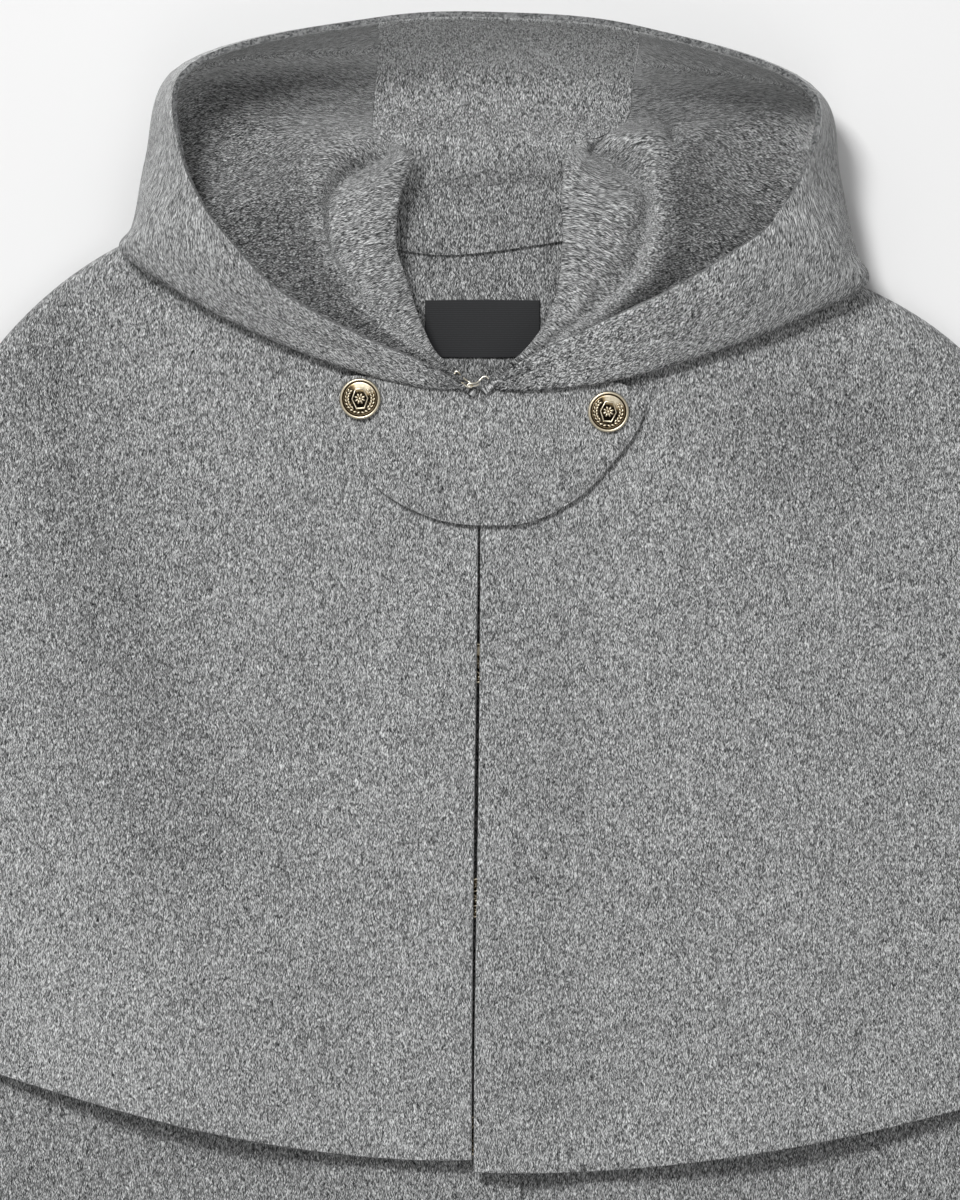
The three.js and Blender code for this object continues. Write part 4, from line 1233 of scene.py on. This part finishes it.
@dataclass
class CrestButton:
    """A die-struck shank button: a raised rim round a face with a six-sided frame, a rosette and a wreath."""

    gold: bpy.types.Material
    frame_size: tuple[float, float] = (4.3, 6.1)
    petals: int = 8
    petal_size: tuple[float, float, float] = (1.25, 0.55, 0.55)
    leaves: int = 9
    leaf_size: tuple[float, float, float] = (1.15, 0.52, 0.55)
    # Where a highlight is painted bright on the face, in radians round the button, and how much of it is lost
    # elsewhere.
    painted_highlight_turn: float = 1.2
    painted_highlight_loss: float = 0.86
    profile: tuple[tuple[float, float, float], ...] = (
        (2.2, 0.0, 0.3), (2.2, 1.0, 0.2), (6.5, 1.5, 0.2), (9.5, 2.4, 0.3), (10.1, 2.9, 0.5),
        (10.25, 3.4, 0.8), (10.2, 3.9, 0.95), (9.95, 4.35, 1.0), (9.6, 4.6, 1.0), (9.25, 4.6, 1.0),
        (8.95, 4.35, 0.7), (8.8, 3.85, 0.0), (8.6, 3.55, 0.0), (8.4, 3.6, 0.1), (8.2, 3.85, 0.9),
        (8.0, 3.9, 0.9), (7.4, 3.92, 0.9), (6.6, 3.96, 0.9), (5.8, 4.0, 0.9), (5.0, 4.0, 0.8),
        (4.2, 4.0, 0.5), (3.4, 4.0, 0.1), (2.4, 4.0, 0.1),
        (1.2, 4.0, 0.1),
    )

    def model(self) -> bmesh.types.BMesh:
        """The button, standing at the origin in millimetres.

        Returns:
            Its mesh, with how rubbed each point is in the wear layer.
        """
        bm = bmesh.new()
        wear_and_highlight = bm.verts.layers.float.new("wear_and_highlight")
        path = []
        for r, z, worn in self.profile:
            v = bm.verts.new((r, 0, z))
            v[wear_and_highlight] = worn
            path.append(v)
        edges = [bm.edges.new(pair) for pair in zip(path[:-1], path[1:])]
        bmesh.ops.spin(bm, geom=path + edges, axis=(0, 0, 1), cent=(0, 0, 0), angle=2 * math.pi, steps=72,
                       use_merge=True)
        bmesh.ops.edgeloop_fill(bm, edges=[e for e in bm.edges if e.is_boundary])
        bmesh.ops.recalc_face_normals(bm, faces=bm.faces)
        # A wedge of the face keeps its brightness as a painted highlight; the rest of the face loses most of
        # it.
        for v in bm.verts:
            if 3.0 < v.co.xy.length < 8.1 and v.co.z > 3.5:
                aside = abs(math.remainder(math.atan2(v.co.y, v.co.x) - self.painted_highlight_turn, 2 * math.pi))
                v[wear_and_highlight] *= 1 - self.painted_highlight_loss * float(smooth(0.6, 1.0, aside))
        self.hexagon(bm, wear_and_highlight)
        self.wreath(bm, wear_and_highlight)
        for i in range(self.petals):
            turn = math.tau * (i + 0.5) / self.petals
            self.blob(bm, wear_and_highlight, self.petal_size, 1.75, turn, turn, 4.0)
        self.blob(bm, wear_and_highlight, (0.85, 0.85, 0.6), 0.0, 0.0, 0.0, 4.15)
        return bm

    def hexagon(self, bm: bmesh.types.BMesh, wear_and_highlight: Any) -> None:
        """Adds the raised frame round the face's middle."""
        wide, high = self.frame_size
        loops = []
        for share, z, worn in ((1.0, 3.8, 0.1), (0.985, 4.35, 0.9), (0.94, 4.5, 1.0), (0.88, 4.48, 1.0),
                               (0.84, 4.3, 0.6), (0.82, 3.8, 0.0)):
            place = Matrix.Translation((0, 0, z)) @ Matrix.Diagonal((wide * share, high * share, 1, 1))
            place = place @ Matrix.Rotation(math.pi / 6, 4, "Z")
            made = bmesh.ops.create_circle(bm, segments=6, radius=1, matrix=place)["verts"]
            for v in made:
                v[wear_and_highlight] = worn
            loops.append(list({e for v in made for e in v.link_edges}))
        made = []
        for outer, inner in zip(loops, loops[1:] + loops[:1]):
            made += bmesh.ops.bridge_loops(bm, edges=outer + inner)["faces"]
        bmesh.ops.recalc_face_normals(bm, faces=made)
        for face in made:
            face.smooth = False

    def wreath(self, bm: bmesh.types.BMesh, wear_and_highlight: Any) -> None:
        """Adds two laurel sprays, from the bottom of the face up both sides."""
        for side in Side:
            for i in range(self.leaves):
                up = -math.pi / 2 + side.value * (0.16 + 0.262 * i)
                for row, reach, lean in ((0, 7.05, 0.5), (1, 5.9, -0.45)):
                    if row and i < 2:
                        continue
                    lie = up + side.value * (math.pi / 2 - lean)
                    self.blob(bm, wear_and_highlight, self.leaf_size, reach, up + side.value * 0.06 * row, lie, 4.0)

    def blob(self, bm: bmesh.types.BMesh, wear_and_highlight: Any, size: tuple[float, float, float], reach: float,
             turn: float, lie: float, z: float) -> None:
        """Adds a small pointed boss, such as a leaf or petal.

        Args:
            bm: The mesh.
            wear_and_highlight: The layer that says how rubbed a point is.
            size: Its half sizes.
            reach: How far from the middle.
            turn: Where round the button, in radians.
            lie: Which way it points.
            z: Its height.
        """
        place = Matrix.Translation((reach * math.cos(turn), reach * math.sin(turn), z))
        place = place @ Matrix.Rotation(lie, 4, "Z") @ Matrix.Diagonal((*size, 1))
        made = bmesh.ops.create_uvsphere(bm, u_segments=10, v_segments=6, radius=1, matrix=place)
        for v in made["verts"]:
            v[wear_and_highlight] = float(np.clip((v.co.z - z) / size[2] * 1.3 - 0.1, 0, 1))

    def build(self, node: str, turn: float) -> bpy.types.Object:
        """Sets a button where its solid is, tilted as it is.

        Args:
            node: The solid.
            turn: How far it is turned on its shank.

        Returns:
            The button.
        """
        low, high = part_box(node)
        co = np.array([v.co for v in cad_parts[node].data.vertices]) / MM
        centre = np.array((low + high) / 2) / MM
        rim = co[np.linalg.norm(co[:, :2] - centre[:2], axis=1) > 9.6]
        _, _, axes = np.linalg.svd(rim - rim.mean(0), full_matrices=False)
        up = Vector(axes[2] if axes[2][2] > 0 else -axes[2])
        foot = co[(co - centre) @ np.array(up) < ((co - centre) @ np.array(up)).min() + 0.05].mean(0)
        bm = self.model()
        spin = Vector((0, 0, 1)).rotation_difference(up).to_matrix().to_4x4()
        place = Matrix.Scale(MM, 4) @ Matrix.Translation(foot) @ spin @ Matrix.Rotation(turn, 4, "Z")
        bmesh.ops.transform(bm, matrix=place, verts=bm.verts)
        return enrol(new_object(node + "_gold", bm, self.gold), node)


@dataclass
class HookAndEye:
    """A sewn wire hook and its eye, at the throat."""

    gold: bpy.types.Material
    wire: float = 0.5
    level: float = 33.9
    eye: tuple[tuple[float, float, float], ...] = (
        (-11.8, 5.2, 0), (-10.9, 6.6, 0), (-9.6, 6, 0), (-8.4, 4.2, -2.6), (-4.4, 1.2, 0), (-2.9, 0.2, 0),
        (-3.2, -1.2, 0), (-5, -1.3, 0), (-7.2, 0.2, -1.4), (-9.6, 2, -3.2),
    )
    hook: tuple[tuple[float, float, float], ...] = (
        (5.4, 2.8, 0), (4, 4, 0), (2.4, 3.7, 0), (0.9, 2.2, 0), (-0.8, 0.9, 0.6), (-3, 0.5, 1.4),
        (-4.9, 0.1, 1.4), (-5.2, -0.8, 1.4), (-3.6, -0.9, 1.4), (-1, -0.6, 0.8), (0.6, 0.2, 0),
    )

    def bent(self, name: str, points: Sequence[Sequence[float]], node: str) -> bpy.types.Object:
        """A wire bent through the points.

        Args:
            name: The piece's name.
            points: In plan millimetres.
            node: The solid that it stands for.

        Returns:
            The wire.
        """
        path = spline(np.array(points, float) + [0, 0, self.level], np.linspace(0, len(points) - 1, 70))
        bm = bmesh.new()
        add_tube(bm, path + SHIFT, self.wire, 10)
        return enrol(new_object(name, bm, self.gold), node)

    def build(self) -> list[bpy.types.Object]:
        """Builds both wires."""
        return [self.bent("eye_wire", self.eye, "eye"), self.bent("hook_wire", self.hook, "hook")]


def add_tube(bm: bmesh.types.BMesh, path: Array, radius: float, sides: int) -> None:
    """Adds a round bar along a path, capped at both ends.

    Args:
        bm: The mesh, in metres.
        path: Points in millimetres, in the frame.
        radius: Its radius.
        sides: How many sides.
    """
    along = np.gradient(path, axis=0)
    ring: list[Any] = []
    made: list[Any] = []
    ends: list[Any] = []
    up = Vector((0, 0, 1))
    for i, (p, t) in enumerate(zip(path, along)):
        forward = Vector(t).normalized()
        aside = forward.cross(up).normalized()
        place = Matrix((aside, aside.cross(forward), forward)).transposed().to_4x4()
        place.translation = Vector(p)
        cap = i in (0, len(path) - 1)
        verts = bmesh.ops.create_circle(bm, cap_ends=cap, segments=sides, radius=radius,
                                        matrix=Matrix.Scale(MM, 4) @ place)["verts"]
        ends += {f for v in verts for f in v.link_faces}
        loop = list({e for v in verts for e in v.link_edges})
        if ring:
            made += bmesh.ops.bridge_loops(bm, edges=ring + loop)["faces"]
        ring = loop
    bmesh.ops.recalc_face_normals(bm, faces=made + ends)


@dataclass
class Buttonhole:
    """A worked buttonhole that shows past its button: a corded slit with overcast stitches."""

    thread: bpy.types.Material
    stitch_mm: float = 0.95
    reach_mm: float = 1.0
    cord_mm: float = 0.2
    cord_aside_mm: float = 0.28
    thread_mm: float = 0.13

    def build(self, name: str, node: str, start: Sequence[float], end: Sequence[float]) -> bpy.types.Object:
        """Works the buttonhole along a line on the tab.

        Args:
            name: The piece's name.
            node: The solid whose slot it would take. It is passed on, but not used.
            start: Where the slit comes out from under the button, in plan millimetres.
            end: Its other end.

        Returns:
            The stitches and cord.
        """
        a, b = np.array(start, float), np.array(end, float)
        length = float(np.linalg.norm(b - a))
        along = (b - a) / length
        aside = np.array([-along[1], along[0]])
        bm = bmesh.new()
        for side in (-self.cord_aside_mm, self.cord_aside_mm):
            places = a + np.linspace(0, 1, 24)[:, None] * (b - a) + side * aside
            add_tube(bm, self.on_tab(places, 0.12), self.cord_mm, 6)
        for i in range(int(length / self.stitch_mm)):
            middle = a + along * self.stitch_mm * (i + 0.5)
            slant = along * 0.25 * (-1) ** i
            places = np.array([middle + (aside + slant) * k * self.reach_mm for k in np.linspace(-1, 1, 5)])
            lift = 0.2 + 0.18 * np.cos(np.linspace(-1, 1, 5) * math.pi / 2)
            add_tube(bm, self.on_tab(places, lift), self.thread_mm, 5)
        return enrol(new_object(name, bm, self.thread), slot=node)

    def on_tab(self, places: Array, lift: Any) -> Array:
        """Plan points laid on the tab's face, in the frame."""
        x, y = places[:, 0], places[:, 1]
        level = PLAN.capelet_top(x, y) + PLAN.tab_air + PLAN.cloth + lift
        return np.column_stack([x, y, level]) + SHIFT


@dataclass
class Studio:
    """The floor, the lights and the camera, in metres.

    Each light has its place from the middle of the picture, its size and its watts.
    """

    key: tuple[tuple[float, float, float], float, float] = ((-1.5, 2.5, 4.3), 1.2, 192.0)
    fill: tuple[tuple[float, float, float], float, float] = ((0.6, -2.2, 3.8), 3.0, 20.0)
    surround: float = 0.35
    floor_half: float = 4.0
    floor_drop: float = 0.0004
    distance: float = 6.0
    sharp_level: float = 0.02
    picture_height: float = 0.6
    sensor_mm: float = 36.0
    camera_aside_mm: float = 1.0

    def build(self) -> None:
        """Makes all three and a plain white surround."""
        self.floor()
        self.light("key", *self.key)
        self.light("fill", *self.fill)
        world = bpy.data.worlds.new("surround")
        world.use_nodes = True
        world.node_tree.nodes["Background"].inputs["Color"].default_value = (1, 1, 1, 1)
        world.node_tree.nodes["Background"].inputs["Strength"].default_value = self.surround
        bpy.context.scene.world = world
        bpy.context.scene.view_settings.view_transform = "Standard"
        self.camera()

    def floor(self) -> None:
        """A pale board under the garment."""
        bm = bmesh.new()
        bmesh.ops.create_grid(bm, x_segments=2, y_segments=2, size=self.floor_half)
        obj = new_object("floor", bm, StudioFloor().build())
        obj.data.transform(Matrix.Translation((0, 0, -self.floor_drop)))

    def light(self, name: str, place: tuple[float, float, float], size: float, power: float) -> None:
        """A square soft box that faces the garment's shoulders.

        Args:
            name: Its name.
            place: Where it stands, in metres, from the middle of the picture.
            size: Its side.
            power: In watts.
        """
        lamp = bpy.data.lights.new(name, "AREA")
        lamp.size = size
        lamp.energy = power
        obj = bpy.data.objects.new(name, lamp)
        middle = Vector((SHIFT[0] * MM, (SHIFT[1] + PICTURE_Y) * MM, 0))
        obj.location = middle + Vector(place)
        obj.rotation_euler = (-Vector(place)).to_track_quat("-Z", "Y").to_euler()
        bpy.context.scene.collection.objects.link(obj)

    def camera(self) -> None:
        """A long lens straight above. The picture covers 480 by 600 mm at the capelet's height."""
        data = bpy.data.cameras.new("camera")
        data.sensor_width = self.sensor_mm
        data.lens = self.sensor_mm * self.distance / self.picture_height
        cam = bpy.data.objects.new("camera", data)
        cam.location = (
            (SHIFT[0] + self.camera_aside_mm) * MM,
            (SHIFT[1] + PICTURE_Y) * MM,
            self.sharp_level + self.distance,
        )
        bpy.context.scene.collection.objects.link(cam)
        bpy.context.scene.camera = cam


def trims(wool: Wool) -> list[bpy.types.Object]:
    """Builds the neck band, the throat tab and the label.

    Args:
        wool: The cloth's finishes.

    Returns:
        The three pieces.
    """
    band = FlatTrim(
        "neck_band",
        ((-58, 88), (-50, 94.8), (-37, 97.9), (2, 99.35), (43, 102.3), (54, 97.3), (62, 90)),
        ((-57, 73), (-50, 70.5), (-41, 68), (-15, 65), (42.5, 72), (54, 74), (62, 76)),
        lambda x, y: PLAN.coat_back(x, y) + PLAN.cloth / 2 + PLAN.rest + 1,
        # The neck band's colour is darkened by painted shade.
        2.0, wool, edge_mm=0.35, lean=-0.3,
    ).build(["coat_back"], 5.0)
    tab = FlatTrim(
        "throat_tab",
        ((-73.5, -5), (-71.5, 0.5), (-66, 4), (-40, 3), (0, -1.5), (42, 1), (70, 1), (79, -3.5), (82.8, -9)),
        ((-74, -12), (-71.6, -23), (-63.5, -36), (-47, -54), (-20, -67.3), (3, -70.2), (26, -68.4), (50, -56),
         (68, -38), (79, -23.5), (83, -14)),
        lambda x, y: PLAN.capelet_top(x, y) + PLAN.tab_air + PLAN.cloth / 2,
        PLAN.cloth, wool, puff=1.3,
    ).build(["capelet_front_right", "capelet_front_left"], 6.0)
    tape = WovenTape().build()
    label = FlatTrim(
        "label",
        ((-26.5, 42.5), (2, 42.8), (31, 42.5)),
        ((-26.5, 14), (2, 13.7), (31, 14)),
        lambda x, y: PLAN.coat_back(x, y) + PLAN.cloth / 2 + PLAN.rest + 0.45,
        0.9, Wool(tape, tape), edge_mm=0.3,
    ).build(["coat_back"], 7.0)
    return [band, tab, label]


# How far each button is turned on its shank, in radians.
BUTTON_TURNS = {
    "tab_button_right": 0.05,
    "tab_button_left": -0.1,
    "coat_button_1": 0.5,
    "coat_button_2": 2.1,
    "coat_button_3": 4.0,
    "coat_button_4": 1.1,
    "coat_button_5": 3.0,
}
# Each buttonhole's visible stretch on the tab, in plan.
BUTTONHOLES = {
    Side.RIGHT: ((-48.2, -13.2), (-41.4, -19.0)),
    Side.LEFT: ((54.6, -12.6), (45.0, -19.2)),
}


def main() -> None:
    """Builds the garment piece by piece."""
    logging.basicConfig(level=logging.INFO, format="%(name)s: %(message)s")
    wool = Wool(BrushedWool().build(), CutWoolEdge().build())
    gold = AntiqueGold().build()
    thread = SewingThread().build()
    Studio().build()
    pieces = [*capelet(wool).build(), *coat(wool).build(), *Hood(wool, sections=HOOD_SECTIONS).build()]
    pieces += trims(wool)
    button, hole = CrestButton(gold), Buttonhole(thread)
    pieces += [button.build(node, turn) for node, turn in BUTTON_TURNS.items()]
    for side, line in BUTTONHOLES.items():
        pieces.append(hole.build(f"buttonhole_{side.word}", "throat_tab", *line))
    wire = AntiqueGold("gold_wire", "#f8f3e6", "#ddd2b6", blackened=False).build()
    pieces += HookAndEye(wire).build()
    for piece in pieces:
        log.info("%s: %s, %d faces", piece.name, piece.data.materials[0].name, len(piece.data.polygons))


if __name__ == "__main__":
    main()
